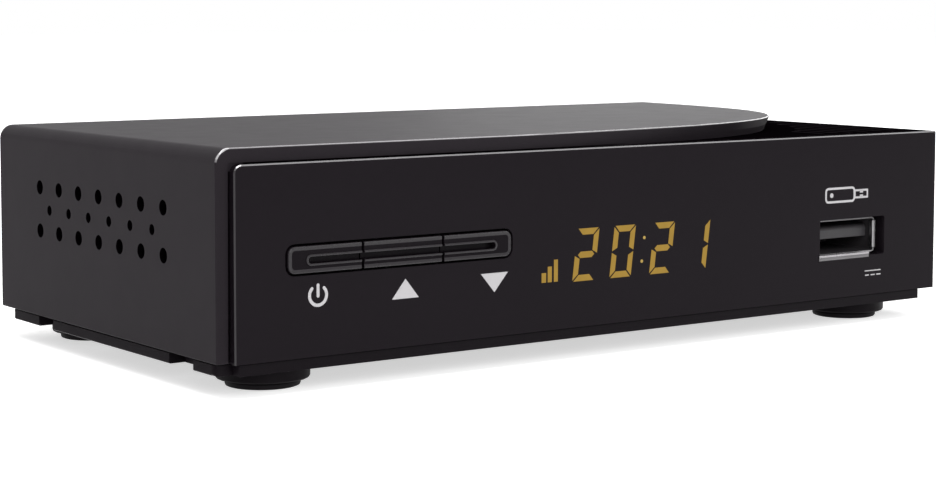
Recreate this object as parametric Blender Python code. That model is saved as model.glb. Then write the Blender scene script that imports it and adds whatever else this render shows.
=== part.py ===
# Cable TV receiver: a small set-top box with a swept top deck, a glossy front panel,
# three keys, a clock display and a USB socket.
# X runs to the right seen from the front, Y to the back and Z up. Lengths are in metres.
# The origin is on the floor, under the middle of the whole box.

import math

import bmesh
import bpy
from mathutils import Vector

# Fits
GAP = 0.0003
OVERRUN = 0.0020
SINK = 0.0004

# Housing
BODY_WIDTH = 0.1300
BODY_DEPTH = 0.0647
DECK_HEIGHT = 0.0315
DECK_STEP = 0.0020
BODY_BOTTOM = 0.0046
WALL = 0.0018
EDGE_RADIUS = 0.0020
DECK_EDGE = 0.0003
SWEEP_SHARES = ((-0.31, 0.0), (0.76, 0.0), (0.90, 0.35), (0.928, 1.0))
SWEEP_STEPS = 22
STEP_UNDERCUT = 0.0010
UNDERCUT_RUN_SHARE = 0.5

# Vent holes in the side walls
VENT_BIG = 0.0020
VENT_SMALL = 0.0014
VENT_START = 0.0137
VENT_PITCH = 0.0062
VENT_COUNT = 7
VENT_MIDDLE_HEIGHT = 0.0201
VENT_ROW_PITCH = 0.0031

# Slots in the lower tier
SLOT_WIDTH = 0.0014
SLOT_PITCH = 0.0032
SLOT_MARGIN = 0.0026
SLOT_COUNT = 11
SLOT_SHORTEST = 0.0060

# Front panel
PANEL_PROUD = 0.0010
PANEL_THICK = 0.0020
PANEL_CORNER = 0.0011
PANEL_BEVEL = 0.0003
RIM_THICK = 0.0012
RIM_DEPTH = 0.0030
POST_RADIUS = 0.0019
POST_LEFT_INSET = 0.0044
POST_TO_USB = 0.0151
POST_DROP = 0.0030
POST_LOW = 0.0122

# Keys
KEY_BAR_INSET = 0.0274
KEY_BAR_HEIGHT = 0.0170
KEY_OUTER_WIDTH = 0.0111
KEY_MIDDLE_WIDTH = 0.0123
KEY_TALL = 0.0033
KEY_PROUD = 0.0005
KEY_TRAVEL = 0.0005
KEY_SPACING = 0.0004
KEY_CORNER = 0.0010
KEY_EDGE = 0.00035
KEY_FLANGE = 0.0014
KEY_FLANGE_THICK = 0.0009
KEY_STEM_RADIUS = 0.0016
GROOVE_WIDTH = 0.0300
GROOVE_TALL = 0.0014
GROOVE_DEEP = 0.0003

# Tact switches behind the keys
SWITCH_SIZE = 0.0060
SWITCH_DEEP = 0.0034
SWITCH_PROUD = 0.0010
PLUNGER_RADIUS = 0.0015
PLUNGER_HOLD = 0.0007

# Front board with the display
FRONT_BOARD_BACK = 0.0101
BOARD_THICK = 0.0016
FRONT_BOARD_LOW = 0.0092
FRONT_BOARD_DROP = 0.0021
FRONT_BOARD_LEFT_INSET = 0.0024
FRONT_BOARD_TO_USB = 0.0118
KEY_TO_DISPLAY = 0.0034
DISPLAY_TO_SENSOR = 0.0042
DISPLAY_HEIGHT = 0.0148
DISPLAY_TALL = 0.0098
DISPLAY_CHAMFER = 0.0006
SENSOR_TO_USB = 0.0208
SENSOR_DROP = 0.0065
SENSOR_WIDTH = 0.0056
SENSOR_TALL = 0.0072
SENSOR_DEEP = 0.0040
SENSOR_DOME = 0.0020

# USB socket
USB_INSET = 0.0187
USB_HEIGHT = 0.0136
USB_WIDTH = 0.0129
USB_TALL = 0.0053
USB_WALL = 0.0003
USB_CORNER = 0.0006
USB_FLARE = 0.0003
USB_LIP = 0.0006
USB_LENGTH = 0.0140
USB_FRONT = 0.0002
USB_WINDOW_WIDTH = 0.0141
USB_WINDOW_TALL = 0.0065
TONGUE_WIDTH = 0.0111
TONGUE_TALL = 0.0019
TONGUE_RISE = 0.0007
TONGUE_SETBACK = 0.0014
TONGUE_BLOCK = 0.0040

# Base tray
BASE_BOTTOM = 0.0029
BASE_INSET = 0.0006
BASE_REAR_INSET = 0.0022
BASE_FRONT = 0.0012
BASE_CORNER = 0.0012
PLINTH_INSET = 0.0030
PLINTH_SETBACK = 0.0004
UPSTAND_TOP = 0.0080
UPSTAND_THICK = 0.0015
NOTCH_FRONT_LENGTH = 0.0064
NOTCH_REAR_LENGTH = 0.0047
NOTCH_DEPTH = 0.0023
NOTCH_FRONT = 0.0071
NOTCH_REAR_INSET = 0.0163
FLOOR_SLOT_LENGTH = 0.0150
FLOOR_SLOT_WIDTH = 0.0018
FLOOR_SLOT_PITCH = 0.0044
FLOOR_SLOT_COUNT = 17
FLOOR_SLOT_Y = 0.0420

# Feet
FOOT_SIDE_INSET = 0.0112
FOOT_INSET = 0.0078
FOOT_BOSS_RADIUS = 0.0062
FOOT_BOSS_BOTTOM = 0.0016
FOOT_BOSS_EDGE = 0.0002
FOOT_RADIUS = 0.00495
FOOT_NECK = 0.0046
FOOT_RING_TALL = 0.0012
FOOT_POCKET = 0.0007
FOOT_EDGE = 0.0003

# Housing screws and their columns
SCREW_SIDE_INSET = 0.0064
SCREW_FRONT = 0.0180
SCREW_REAR_INSET = 0.0187
SCREW_SHANK = 0.0013
SCREW_HEAD = 0.0025
SCREW_HEAD_TALL = 0.0017
SCREW_LENGTH = 0.0110
SCREW_HEAD_RISE = 0.0024
HEAD_CROWN_SHARE = 0.75
HEAD_RIM_SHARE = 0.55
COLUMN_RADIUS = 0.0039
BOSS_RADIUS = 0.0026

# Main board
BOARD_SIDE_INSET = 0.0095
BOARD_FRONT = 0.0106
BOARD_STEP_TO_USB = 0.0093
BOARD_STEP_FRONT = 0.0046
BOARD_SCREW_INSET = 0.0140
BOARD_SCREW_FRONT = 0.0190
BOARD_SCREW_REAR = 0.0335
BOARD_SCREW_SHANK = 0.0010
BOARD_SCREW_HEAD = 0.0022
BOARD_SCREW_HEAD_TALL = 0.0014
BOARD_SCREW_LENGTH = 0.0052
STANDOFF_RADIUS = 0.0026
LINK_WIDTH = 0.0240
LINK_DEEP = 0.0030
LINK_TALL = 0.0028

# Rear panel
REAR_RECESS = 0.0006
REAR_THICK = 0.0015
RIB_DEEP = 0.0012
RIB_THICK = 0.0012
SOCKET_PROUD = 0.0080
SOCKET_SPACE = 0.0015

# Aerial sockets and tuner
TUNER_INSET = 0.0098
TUNER_WIDTH = 0.0240
TUNER_FRONT = 0.0385
TUNER_TALL = 0.0125
TUNER_WALL_EDGE = 0.0004
AERIAL_INSET = 0.0158
AERIAL_PITCH = 0.0120
AERIAL_RISE = 0.0062
AERIAL_RADIUS = 0.0048
AERIAL_BORE = 0.0041
AERIAL_COLLAR = 0.0056
AERIAL_COLLAR_PROUD = 0.0016
AERIAL_CORE = 0.0025
AERIAL_HOLE = 0.0012
AERIAL_FLOOR = 0.0015
AERIAL_CORE_SETBACK = 0.0010

# HDMI socket
HDMI_WIDTH = 0.0152
HDMI_TALL = 0.0057
HDMI_WALL = 0.0004
HDMI_CHAMFER = 0.0017
HDMI_LENGTH = 0.0110
HDMI_PROUD = 0.0007
HDMI_TONGUE_WIDTH = 0.0120
HDMI_TONGUE_TALL = 0.0016
HDMI_TONGUE_SETBACK = 0.0012
HDMI_BLOCK = 0.0030

# SCART socket
SCART_WIDTH = 0.0420
SCART_TALL = 0.0112
SCART_CHAMFER = 0.0040
SCART_DEEP = 0.0160
SCART_SHIELD_WALL = 0.0006
SCART_SHIELD_GAP = 0.0009
SCART_SHIELD_DEEP = 0.0120
SCART_PROUD = 0.0030
SCART_RISE = 0.0082
SCART_PINS = 10
SCART_PIN_PITCH = 0.0036
SCART_PIN_TALL = 0.0024
SCART_PIN_WIDE = 0.0010
SCART_PIN_ROW = 0.0028
SCART_PIN_DEEP = 0.0070

# Coaxial audio socket
AUDIO_SPACE = 0.0005
AUDIO_BODY = 0.0100
AUDIO_DEEP = 0.0110
AUDIO_RISE = 0.0052
AUDIO_NOSE = 0.0048
AUDIO_NOSE_PROUD = 0.0010
AUDIO_RING = 0.00415
AUDIO_BORE = 0.0034
AUDIO_HOLE = 0.0016
AUDIO_CORE = 0.0026
AUDIO_PROUD = 0.0076

# DC inlet
DC_INSET = 0.0145
DC_WIDTH = 0.0090
DC_TALL = 0.0108
DC_DEEP = 0.0140
DC_PROUD = 0.0004
DC_BORE = 0.0031
DC_BORE_DEEP = 0.0090
DC_PIN = 0.0010
DC_PIN_SETBACK = 0.0010
DC_RISE = 0.0062

# Parts on the main board
CHIP_X = 0.0060
CHIP_SIZE = 0.0170
CHIP_TALL = 0.0014
SINK_SIZE = 0.0220
SINK_BASE = 0.0015
SINK_TALL = 0.0080
SINK_FINS = 7
SINK_FIN_THICK = 0.0010
MEMORY_X = -0.0135
MEMORY_Y = 0.0270
MEMORY_WIDTH = 0.0080
MEMORY_LENGTH = 0.0130
MEMORY_TALL = 0.0012
FLASH_X = -0.0135
FLASH_Y = 0.0170
FLASH_WIDTH = 0.0060
FLASH_LENGTH = 0.0050
FLASH_TALL = 0.0018
COIL_X = 0.0310
COIL_Y = 0.0300
COIL_SIZE = 0.0080
COIL_TALL = 0.0042
COIL_RADIUS = 0.0034
COIL_BASE = 0.0008
CRYSTAL_X = -0.0265
CRYSTAL_Y = 0.0270
CRYSTAL_WIDTH = 0.0045
CRYSTAL_LENGTH = 0.0110
CRYSTAL_TALL = 0.0035
CAPACITOR_SEAT = 0.0006
CAPACITOR_EDGE = 0.0004
CAPACITORS = {
    "capacitor_inlet": {"x": 0.0420, "y": 0.0290, "radius": 0.0040, "tall": 0.0110},
    "capacitor_output": {"x": 0.0220, "y": 0.0180, "radius": 0.0031, "tall": 0.0090},
    "capacitor_tuner": {"x": -0.0300, "y": 0.0160, "radius": 0.0025, "tall": 0.0080},
    "capacitor_usb": {"x": 0.0300, "y": 0.0180, "radius": 0.0031, "tall": 0.0090},
}

# Places worked out from the sizes above
TOTAL_DEPTH = KEY_PROUD + PANEL_PROUD + BODY_DEPTH - REAR_RECESS + SOCKET_PROUD
FRONT = KEY_PROUD + PANEL_PROUD - TOTAL_DEPTH / 2
REAR = FRONT + BODY_DEPTH
HALF_WIDTH = BODY_WIDTH / 2
TIER_HEIGHT = DECK_HEIGHT - DECK_STEP
DECK_UNDER = DECK_HEIGHT - WALL
TIER_UNDER = TIER_HEIGHT - WALL
INNER_HALF = HALF_WIDTH - WALL
KEY_BAR_X = KEY_BAR_INSET - HALF_WIDTH
USB_X = HALF_WIDTH - USB_INSET
SENSOR_X = USB_X - SENSOR_TO_USB
FOOT_X = HALF_WIDTH - FOOT_SIDE_INSET
SCREW_X = HALF_WIDTH - SCREW_SIDE_INSET
BOARD_SCREW_X = HALF_WIDTH - BOARD_SCREW_INSET
AERIAL_IN_X = AERIAL_INSET - HALF_WIDTH
AERIAL_OUT_X = AERIAL_IN_X + AERIAL_PITCH
HDMI_X = AERIAL_OUT_X + AERIAL_COLLAR + SOCKET_SPACE + HDMI_WIDTH / 2
SCART_MARGIN = SCART_SHIELD_GAP + SCART_SHIELD_WALL
SCART_X = HDMI_X + HDMI_WIDTH / 2 + SOCKET_SPACE + SCART_MARGIN + SCART_WIDTH / 2
DC_X = HALF_WIDTH - DC_INSET
AUDIO_X = DC_X - DC_WIDTH / 2 - AUDIO_SPACE - AUDIO_BODY / 2
PANEL_FACE = FRONT - PANEL_PROUD
PANEL_BACK = PANEL_FACE + PANEL_THICK
PANEL_LEFT = -INNER_HALF + GAP
KEY_FACE = PANEL_FACE - KEY_PROUD
BASE_TOP = BODY_BOTTOM - GAP
UPSTAND_HALF = INNER_HALF - GAP
REAR_OUTSIDE = REAR - REAR_RECESS
REAR_INSIDE = REAR_OUTSIDE - REAR_THICK
UPSTAND_FRONT = PANEL_BACK + GAP
UPSTAND_REAR = REAR_INSIDE - GAP
BOARD_TOP = USB_HEIGHT - USB_TALL / 2 - GAP
BOARD_UNDER = BOARD_TOP - BOARD_THICK
ON_BOARD = BOARD_TOP + GAP
BOARD_REAR = REAR_INSIDE - GAP
FRONT_BOARD_FACE = FRONT + FRONT_BOARD_BACK - BOARD_THICK
FRONT_BOARD_HIGH = TIER_UNDER - FRONT_BOARD_DROP
SCART_FRONT = REAR_OUTSIDE - SCART_DEEP
CHIP_Y = (FRONT + BOARD_FRONT + LINK_DEEP + SCART_FRONT) / 2
RIM_BOTTOM = UPSTAND_TOP + GAP
RIM_TOP = TIER_UNDER - GAP
SWITCH_FACE = FRONT_BOARD_FACE - GAP - SWITCH_DEEP
PLUNGER_FRONT = SWITCH_FACE - SWITCH_PROUD
KEY_BAR_WIDTH = 2 * KEY_OUTER_WIDTH + KEY_MIDDLE_WIDTH + 2 * KEY_SPACING
KEYS = {
    "power": (KEY_BAR_X - (KEY_MIDDLE_WIDTH + KEY_OUTER_WIDTH) / 2 - KEY_SPACING, KEY_OUTER_WIDTH),
    "up": (KEY_BAR_X, KEY_MIDDLE_WIDTH),
    "down": (KEY_BAR_X + (KEY_MIDDLE_WIDTH + KEY_OUTER_WIDTH) / 2 + KEY_SPACING, KEY_OUTER_WIDTH),
}

ROUND_STEPS = 20
SMALL_STEPS = 14
CORNER_STEPS = 4
SMOOTH_ANGLE = math.radians(35)


# Outlines

def rectangle(a, b):
    return [(a[0], b[0]), (a[1], b[0]), (a[1], b[1]), (a[0], b[1])]


def rounded_rectangle(a, b, radius, steps=CORNER_STEPS):
    """Outline of a rectangle whose four corners are quarter circles."""
    corners = ((a[1], b[1], 0), (a[0], b[1], 1), (a[0], b[0], 2), (a[1], b[0], 3))
    outline = []
    for x, y, quarter in corners:
        cx = x - radius if quarter in (0, 3) else x + radius
        cy = y - radius if quarter in (0, 1) else y + radius
        for step in range(steps + 1):
            angle = math.pi / 2 * (quarter + step / steps)
            outline.append((cx + radius * math.cos(angle), cy + radius * math.sin(angle)))
    return outline


def circle(centre, radius, steps=ROUND_STEPS):
    turn = 2 * math.pi / steps
    return [
        (centre[0] + radius * math.cos(turn * i), centre[1] + radius * math.sin(turn * i))
        for i in range(steps)
    ]


def chamfered_rectangle(a, b, chamfer):
    """Rectangle with its two lower corners cut off."""
    return [
        (a[0] + chamfer, b[0]),
        (a[1] - chamfer, b[0]),
        (a[1], b[0] + chamfer),
        (a[1], b[1]),
        (a[0], b[1]),
        (a[0], b[0] + chamfer),
    ]


def about(middle, size):
    return (middle - size / 2, middle + size / 2)


# Solids, as bmeshes

def placed(axis, a, b, along):
    """Point whose outline coordinates are a and b, at a height along the axis."""
    return {"X": (along, a, b), "Y": (a, along, b), "Z": (a, b, along)}[axis]


def lofted(sections, axis):
    """Solid through a row of (outline, along) sections that have the same number of points."""
    shape = bmesh.new()
    rings = [
        [shape.verts.new(placed(axis, a, b, along)) for a, b in outline]
        for outline, along in sections
    ]
    for lower, upper in zip(rings, rings[1:]):
        bridge(shape, lower, upper, len(lower))
    shape.faces.new(rings[0])
    shape.faces.new(rings[-1])
    bmesh.ops.recalc_face_normals(shape, faces=shape.faces)
    return shape


def prism(outline, axis, span):
    return lofted([(outline, span[0]), (outline, span[1])], axis)


def block(x, y, z):
    return prism(rectangle(x, y), "Z", z)


def rod(axis, centre, radius, span, steps=ROUND_STEPS):
    return prism(circle(centre, radius, steps), axis, span)


def turned(profile, axis, centre, steps=ROUND_STEPS):
    """Solid of revolution. The profile is a list of (radius, along) that starts and ends on the axis."""
    shape = bmesh.new()
    rings = []
    for radius, along in profile:
        if radius == 0:
            rings.append([shape.verts.new(placed(axis, centre[0], centre[1], along))])
        else:
            ring = circle(centre, radius, steps)
            rings.append([shape.verts.new(placed(axis, a, b, along)) for a, b in ring])
    for lower, upper in zip(rings, rings[1:]):
        bridge(shape, lower, upper, steps)
    bmesh.ops.recalc_face_normals(shape, faces=shape.faces)
    return shape


def bridge(shape, lower, upper, steps):
    for i in range(steps):
        j = (i + 1) % steps
        if len(lower) == 1:
            shape.faces.new((lower[0], upper[i], upper[j]))
        elif len(upper) == 1:
            shape.faces.new((lower[i], upper[0], lower[j]))
        else:
            shape.faces.new((lower[i], upper[i], upper[j], lower[j]))


def bevelled(shape, width, chosen, segments=1):
    """Bevels the edges that the function chosen picks."""
    edges = [edge for edge in shape.edges if chosen(edge)]
    bmesh.ops.bevel(
        shape,
        geom=edges,
        offset=width,
        offset_type="OFFSET",
        segments=segments,
        profile=0.5,
        affect="EDGES",
        clamp_overlap=True,
    )
    return shape


def edge_at(axis, place):
    """Test for the edges that lie in the plane across an axis at a place."""
    index = "XYZ".index(axis)

    def chosen(edge):
        return all(abs(vert.co[index] - place) < GAP / 10 for vert in edge.verts)

    return chosen


def gathered(shapes):
    """One bmesh that holds several separate solids, for use as a cutter."""
    whole = bmesh.new()
    for shape in shapes:
        mesh = bpy.data.meshes.new("cutter")
        shape.to_mesh(mesh)
        shape.free()
        whole.from_mesh(mesh)
        bpy.data.meshes.remove(mesh)
    return whole


# Objects

def linked(name, shape):
    mesh = bpy.data.meshes.new(name)
    shape.to_mesh(mesh)
    shape.free()
    piece = bpy.data.objects.new(name, mesh)
    bpy.context.collection.objects.link(piece)
    return piece


def combined(piece, tool, operation):
    """Applies one exact Boolean to the piece and removes the tool."""
    modifier = piece.modifiers.new(operation, "BOOLEAN")
    modifier.operation = operation
    modifier.solver = "EXACT"
    modifier.object = tool
    graph = bpy.context.evaluated_depsgraph_get()
    mesh = bpy.data.meshes.new_from_object(piece.evaluated_get(graph))
    piece.modifiers.clear()
    old = piece.data
    piece.data = mesh
    bpy.data.meshes.remove(old)
    bpy.data.objects.remove(tool)


def cut(piece, *shapes):
    combined(piece, linked("cutter", gathered(shapes)), "DIFFERENCE")


def joined(piece, *shapes):
    for shape in shapes:
        combined(piece, linked("addition", shape), "UNION")


def finish(colour, roughness, metallic=0.0):
    material = bpy.data.materials.new("finish")
    material.use_nodes = True
    shader = material.node_tree.nodes["Principled BSDF"]
    shader.inputs["Base Color"].default_value = (*colour, 1.0)
    shader.inputs["Roughness"].default_value = roughness
    shader.inputs["Metallic"].default_value = metallic
    return material


def finished(piece, name, look, smooth=True):
    """Names the piece, gives it its own material and smooths its round faces."""
    piece.name = name
    piece.data.name = name
    material = finish(*look)
    material.name = name + "_finish"
    piece.data.materials.clear()
    piece.data.materials.append(material)
    if smooth:
        piece.data.shade_smooth()
        piece.data.set_sharp_from_angle(angle=SMOOTH_ANGLE)
        normals = piece.modifiers.new("even_shading", "WEIGHTED_NORMAL")
        normals.keep_sharp = True
    return piece


def hung_on(piece, origin):
    """Moves the piece's origin to a point without moving the piece."""
    for vert in piece.data.vertices:
        vert.co -= origin
    piece.location = origin


SATIN_BLACK = ((0.030, 0.029, 0.031), 0.45)
GLOSS_BLACK = ((0.012, 0.011, 0.012), 0.12)
KEY_BLACK = ((0.020, 0.019, 0.020), 0.35)
RUBBER = ((0.012, 0.012, 0.012), 0.85)
STEEL = ((0.62, 0.62, 0.63), 0.30, 1.0)
TINPLATE = ((0.70, 0.70, 0.68), 0.38, 1.0)
NICKEL = ((0.66, 0.64, 0.60), 0.25, 1.0)
ALUMINIUM = ((0.55, 0.56, 0.58), 0.40, 1.0)
BOARD_GREEN = ((0.010, 0.075, 0.030), 0.50)
MOULDED_BLACK = ((0.015, 0.015, 0.016), 0.60)
CHIP_BLACK = ((0.018, 0.018, 0.019), 0.70)
AMBER = ((0.60, 0.36, 0.06), 0.50)


# Upper housing

def bezier(points, share):
    """Point on a cubic curve, and its direction."""
    rest = 1 - share
    p = [Vector(point) for point in points]
    place = (
        p[0] * rest**3
        + p[1] * (3 * rest**2 * share)
        + p[2] * (3 * rest * share**2)
        + p[3] * share**3
    )
    direction = (
        (p[1] - p[0]) * rest**2 + (p[2] - p[1]) * (2 * rest * share) + (p[3] - p[2]) * share**2
    )
    return place, direction


def sweep(inset):
    """The swept edge of the raised deck in plan, moved inwards by an inset."""
    points = [(HALF_WIDTH * across, FRONT + BODY_DEPTH * back) for across, back in SWEEP_SHARES]
    line = []
    for step in range(SWEEP_STEPS + 1):
        place, direction = bezier(points, step / SWEEP_STEPS)
        normal = Vector((-direction.y, direction.x)).normalized()
        line.append(tuple(place + normal * inset))
    return line


def sweep_x(y):
    """Where the swept edge stands at a depth."""
    line = sweep(0)
    for (x0, y0), (x1, y1) in zip(line, line[1:]):
        if y0 <= y <= y1:
            return x0 + (x1 - x0) * (y - y0) / (y1 - y0)
    return line[-1][0]


def sweep_y(x):
    """How far back the swept edge stands at a width."""
    line = sweep(0)
    for (x0, y0), (x1, y1) in zip(line, line[1:]):
        if x0 <= x <= x1:
            return y0 + (y1 - y0) * (x - x0) / (x1 - x0)
    return FRONT


def housing_block():
    shape = block((-HALF_WIDTH, HALF_WIDTH), (FRONT, REAR), (BODY_BOTTOM, DECK_HEIGHT))

    def top_left(edge):
        return all(
            vert.co.x < -INNER_HALF and vert.co.z > DECK_UNDER for vert in edge.verts
        )

    return bevelled(shape, EDGE_RADIUS, top_left, segments=8)


def undercut_line():
    """Foot of the swept step. It leans in under the deck's edge, more and more over its first run."""
    run = SWEEP_STEPS * UNDERCUT_RUN_SHARE
    line = []
    for i, (edge, foot) in enumerate(zip(sweep(0), sweep(STEP_UNDERCUT))):
        line.append(tuple(Vector(edge).lerp(Vector(foot), min(1, i / run))))
    return line


def outside(line):
    """Plan of all that lies in front of and to the right of a line along the swept edge."""
    first = (line[0][0], FRONT - OVERRUN)
    last = (line[-1][0], REAR + OVERRUN)
    corner_back = (HALF_WIDTH + OVERRUN, REAR + OVERRUN)
    corner_front = (HALF_WIDTH + OVERRUN, FRONT - OVERRUN)
    return [first] + line + [last, corner_back, corner_front]


def tier_cutter():
    """All that stands above the lower tier outside the swept edge."""
    edge = outside(sweep(0))
    foot = outside(undercut_line())
    return lofted([(foot, TIER_HEIGHT), (edge, DECK_HEIGHT), (edge, DECK_HEIGHT + OVERRUN)], "Z")


def pocket_line():
    """The swept edge moved in by the wall, up to the back of the housing."""
    return [point for point in sweep(WALL) if point[1] < REAR]


def rim_of_deck(edge):
    """Test for the sharp edges round the deck: its front edge, left corner and swept step."""
    if not edge.is_manifold or edge.calc_face_angle() < SMOOTH_ANGLE:
        return False
    on_top = edge_at("Z", DECK_HEIGHT)(edge) and not edge_at("Y", REAR)(edge)
    left = all(vert.co.x < EDGE_RADIUS + GAP - HALF_WIDTH for vert in edge.verts)
    return on_top or (left and edge_at("Y", FRONT)(edge))


def soften_rim(piece):
    """A narrow bevel on the deck's edges."""
    shape = bmesh.new()
    shape.from_mesh(piece.data)
    bevelled(shape, DECK_EDGE, rim_of_deck)
    shape.to_mesh(piece.data)
    shape.free()


def deck_pocket():
    """The hollow under the raised deck."""
    line = pocket_line()
    outline = [(-INNER_HALF, FRONT - OVERRUN), (line[0][0], FRONT - OVERRUN)] + line
    outline += [(line[-1][0], REAR + OVERRUN), (-INNER_HALF, REAR + OVERRUN)]
    return prism(outline, "Z", (TIER_UNDER - WALL, DECK_UNDER))


def vent_row(height, radius, start, count):
    steps = SMALL_STEPS if radius > VENT_SMALL / 2 else SMALL_STEPS - 4
    span = HALF_WIDTH + OVERRUN
    rows = []
    for side in (-1, 1):
        reach = sorted((side * span, side * (INNER_HALF - OVERRUN / 2)))
        for i in range(count):
            centre = (FRONT + start + i * VENT_PITCH, height)
            rows.append(rod("X", centre, radius, reach, steps))
    return rows


def side_vents():
    big = VENT_BIG / 2
    high = VENT_MIDDLE_HEIGHT + VENT_ROW_PITCH
    low = VENT_MIDDLE_HEIGHT - VENT_ROW_PITCH
    half_pitch = VENT_START + VENT_PITCH / 2
    return (
        vent_row(high, big, VENT_START, VENT_COUNT)
        + vent_row(low, big, VENT_START, VENT_COUNT)
        + vent_row(VENT_MIDDLE_HEIGHT, VENT_SMALL / 2, half_pitch, VENT_COUNT - 1)
    )


def tier_slots():
    """Long slots from front to back in the lower tier, each stopping short of the swept wall."""
    slots = []
    front = UPSTAND_FRONT + SLOT_MARGIN
    for i in range(SLOT_COUNT):
        x = HALF_WIDTH - WALL - SLOT_MARGIN - i * SLOT_PITCH
        clear = x - SLOT_WIDTH / 2 - SLOT_MARGIN
        back = min(sweep_y(clear) - SLOT_MARGIN, REAR_INSIDE - SLOT_MARGIN)
        if clear > sweep_x(REAR):
            back = REAR_INSIDE - SLOT_MARGIN
        if back - front < SLOT_SHORTEST:
            continue
        radius = SLOT_WIDTH / 2 - GAP / 10
        outline = rounded_rectangle(about(x, SLOT_WIDTH), (front, back), radius, 3)
        slots.append(prism(outline, "Z", (TIER_UNDER - SINK, TIER_HEIGHT + OVERRUN)))
    return slots


def housing_boss(x, y):
    top = DECK_UNDER if x < 0 else TIER_UNDER
    return rod("Z", (x, y), BOSS_RADIUS, (UPSTAND_TOP + GAP, top + SINK))


def screw_places():
    return {
        "front_left": (-SCREW_X, FRONT + SCREW_FRONT),
        "front_right": (SCREW_X, FRONT + SCREW_FRONT),
        "rear_left": (-SCREW_X, REAR - SCREW_REAR_INSET),
        "rear_right": (SCREW_X, REAR - SCREW_REAR_INSET),
    }


def rear_rib(side):
    """Upright rib on a side wall that the rear panel stands against."""
    x = sorted((side * (INNER_HALF + SINK), side * (INNER_HALF - RIB_DEEP)))
    y = (REAR_INSIDE - GAP - RIB_THICK, REAR_INSIDE - GAP)
    return block(x, y, (UPSTAND_TOP + GAP, TIER_UNDER + SINK))


def upper_housing():
    """Deck, lower tier and side walls in one moulding, open below, in front and behind."""
    piece = linked("upper_housing", housing_block())
    cut(piece, tier_cutter())
    soften_rim(piece)
    hollow_span = (FRONT - OVERRUN, REAR + OVERRUN)
    cut(piece, block((-INNER_HALF, INNER_HALF), hollow_span, (BODY_BOTTOM - OVERRUN, TIER_UNDER)))
    cut(piece, deck_pocket())
    panel_room = (-INNER_HALF, HALF_WIDTH + OVERRUN)
    cut(piece, block(panel_room, (FRONT - OVERRUN, PANEL_BACK + GAP), (0, DECK_UNDER)))
    cut(piece, *side_vents())
    cut(piece, *tier_slots())
    for x, y in screw_places().values():
        joined(piece, housing_boss(x, y))
    joined(piece, rear_rib(-1), rear_rib(1))
    pilot_top = BASE_BOTTOM + SCREW_HEAD_RISE + SCREW_LENGTH + GAP
    pilots = [
        rod("Z", place, SCREW_SHANK + GAP, (BODY_BOTTOM, pilot_top), SMALL_STEPS)
        for place in screw_places().values()
    ]
    cut(piece, *pilots)
    finished(piece, "upper_housing", SATIN_BLACK)


# Base tray

def foot_places():
    return {
        "front_left": (-FOOT_X, FRONT + FOOT_INSET),
        "front_right": (FOOT_X, FRONT + FOOT_INSET),
        "rear_left": (-FOOT_X, REAR - FOOT_INSET),
        "rear_right": (FOOT_X, REAR - FOOT_INSET),
    }


def board_screw_places():
    return {
        "front_left": (-BOARD_SCREW_X, FRONT + BOARD_SCREW_FRONT),
        "front_right": (BOARD_SCREW_X, FRONT + BOARD_SCREW_FRONT),
        "rear_left": (-BOARD_SCREW_X, FRONT + BOARD_SCREW_REAR),
        "rear_right": (BOARD_SCREW_X, FRONT + BOARD_SCREW_REAR),
    }


def base_slab():
    half = HALF_WIDTH - BASE_INSET
    y = (FRONT + BASE_FRONT, REAR - BASE_REAR_INSET)
    outline = rounded_rectangle((-half, half), y, BASE_CORNER)
    return prism(outline, "Z", (BASE_BOTTOM, BASE_TOP))


def plinth():
    span = (FRONT - PLINTH_SETBACK, FRONT + BASE_FRONT + BASE_CORNER)
    half = HALF_WIDTH - PLINTH_INSET
    return block((-half, half), span, (BASE_BOTTOM, BASE_TOP))


def foot_boss(place):
    top = BASE_BOTTOM + SINK
    profile = [
        (0, FOOT_BOSS_BOTTOM),
        (FOOT_BOSS_RADIUS - FOOT_BOSS_EDGE, FOOT_BOSS_BOTTOM),
        (FOOT_BOSS_RADIUS, FOOT_BOSS_BOTTOM + FOOT_BOSS_EDGE),
        (FOOT_BOSS_RADIUS, top),
        (0, top),
    ]
    return turned(profile, "Z", place, ROUND_STEPS + 4)


def upstand():
    """Wall that rises inside the housing and locates it."""
    outer = rectangle((-UPSTAND_HALF, UPSTAND_HALF), (UPSTAND_FRONT, UPSTAND_REAR))
    return prism(outer, "Z", (BASE_TOP - SINK, UPSTAND_TOP))


def tray_hollow():
    x = (-UPSTAND_HALF + UPSTAND_THICK, UPSTAND_HALF - UPSTAND_THICK)
    y = (UPSTAND_FRONT + UPSTAND_THICK, UPSTAND_REAR - UPSTAND_THICK)
    return block(x, y, (BASE_TOP, UPSTAND_TOP + OVERRUN))


def side_notch(side, start, length):
    """Notch through the skirt and the floor's edge."""
    outer = HALF_WIDTH + OVERRUN
    inner = HALF_WIDTH - BASE_INSET - NOTCH_DEPTH
    x = sorted((side * outer, side * inner))
    return block(x, (start, start + length), (FOOT_BOSS_BOTTOM, BASE_TOP + GAP / 2))


def floor_slots():
    slots = []
    y = about(FRONT + FLOOR_SLOT_Y, FLOOR_SLOT_LENGTH)
    radius = FLOOR_SLOT_WIDTH / 2 - GAP / 10
    for i in range(FLOOR_SLOT_COUNT):
        x = (i - (FLOOR_SLOT_COUNT - 1) / 2) * FLOOR_SLOT_PITCH
        outline = rounded_rectangle(about(x, FLOOR_SLOT_WIDTH), y, radius, 2)
        slots.append(prism(outline, "Z", (BASE_BOTTOM - OVERRUN, BASE_TOP + OVERRUN)))
    return slots


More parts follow.
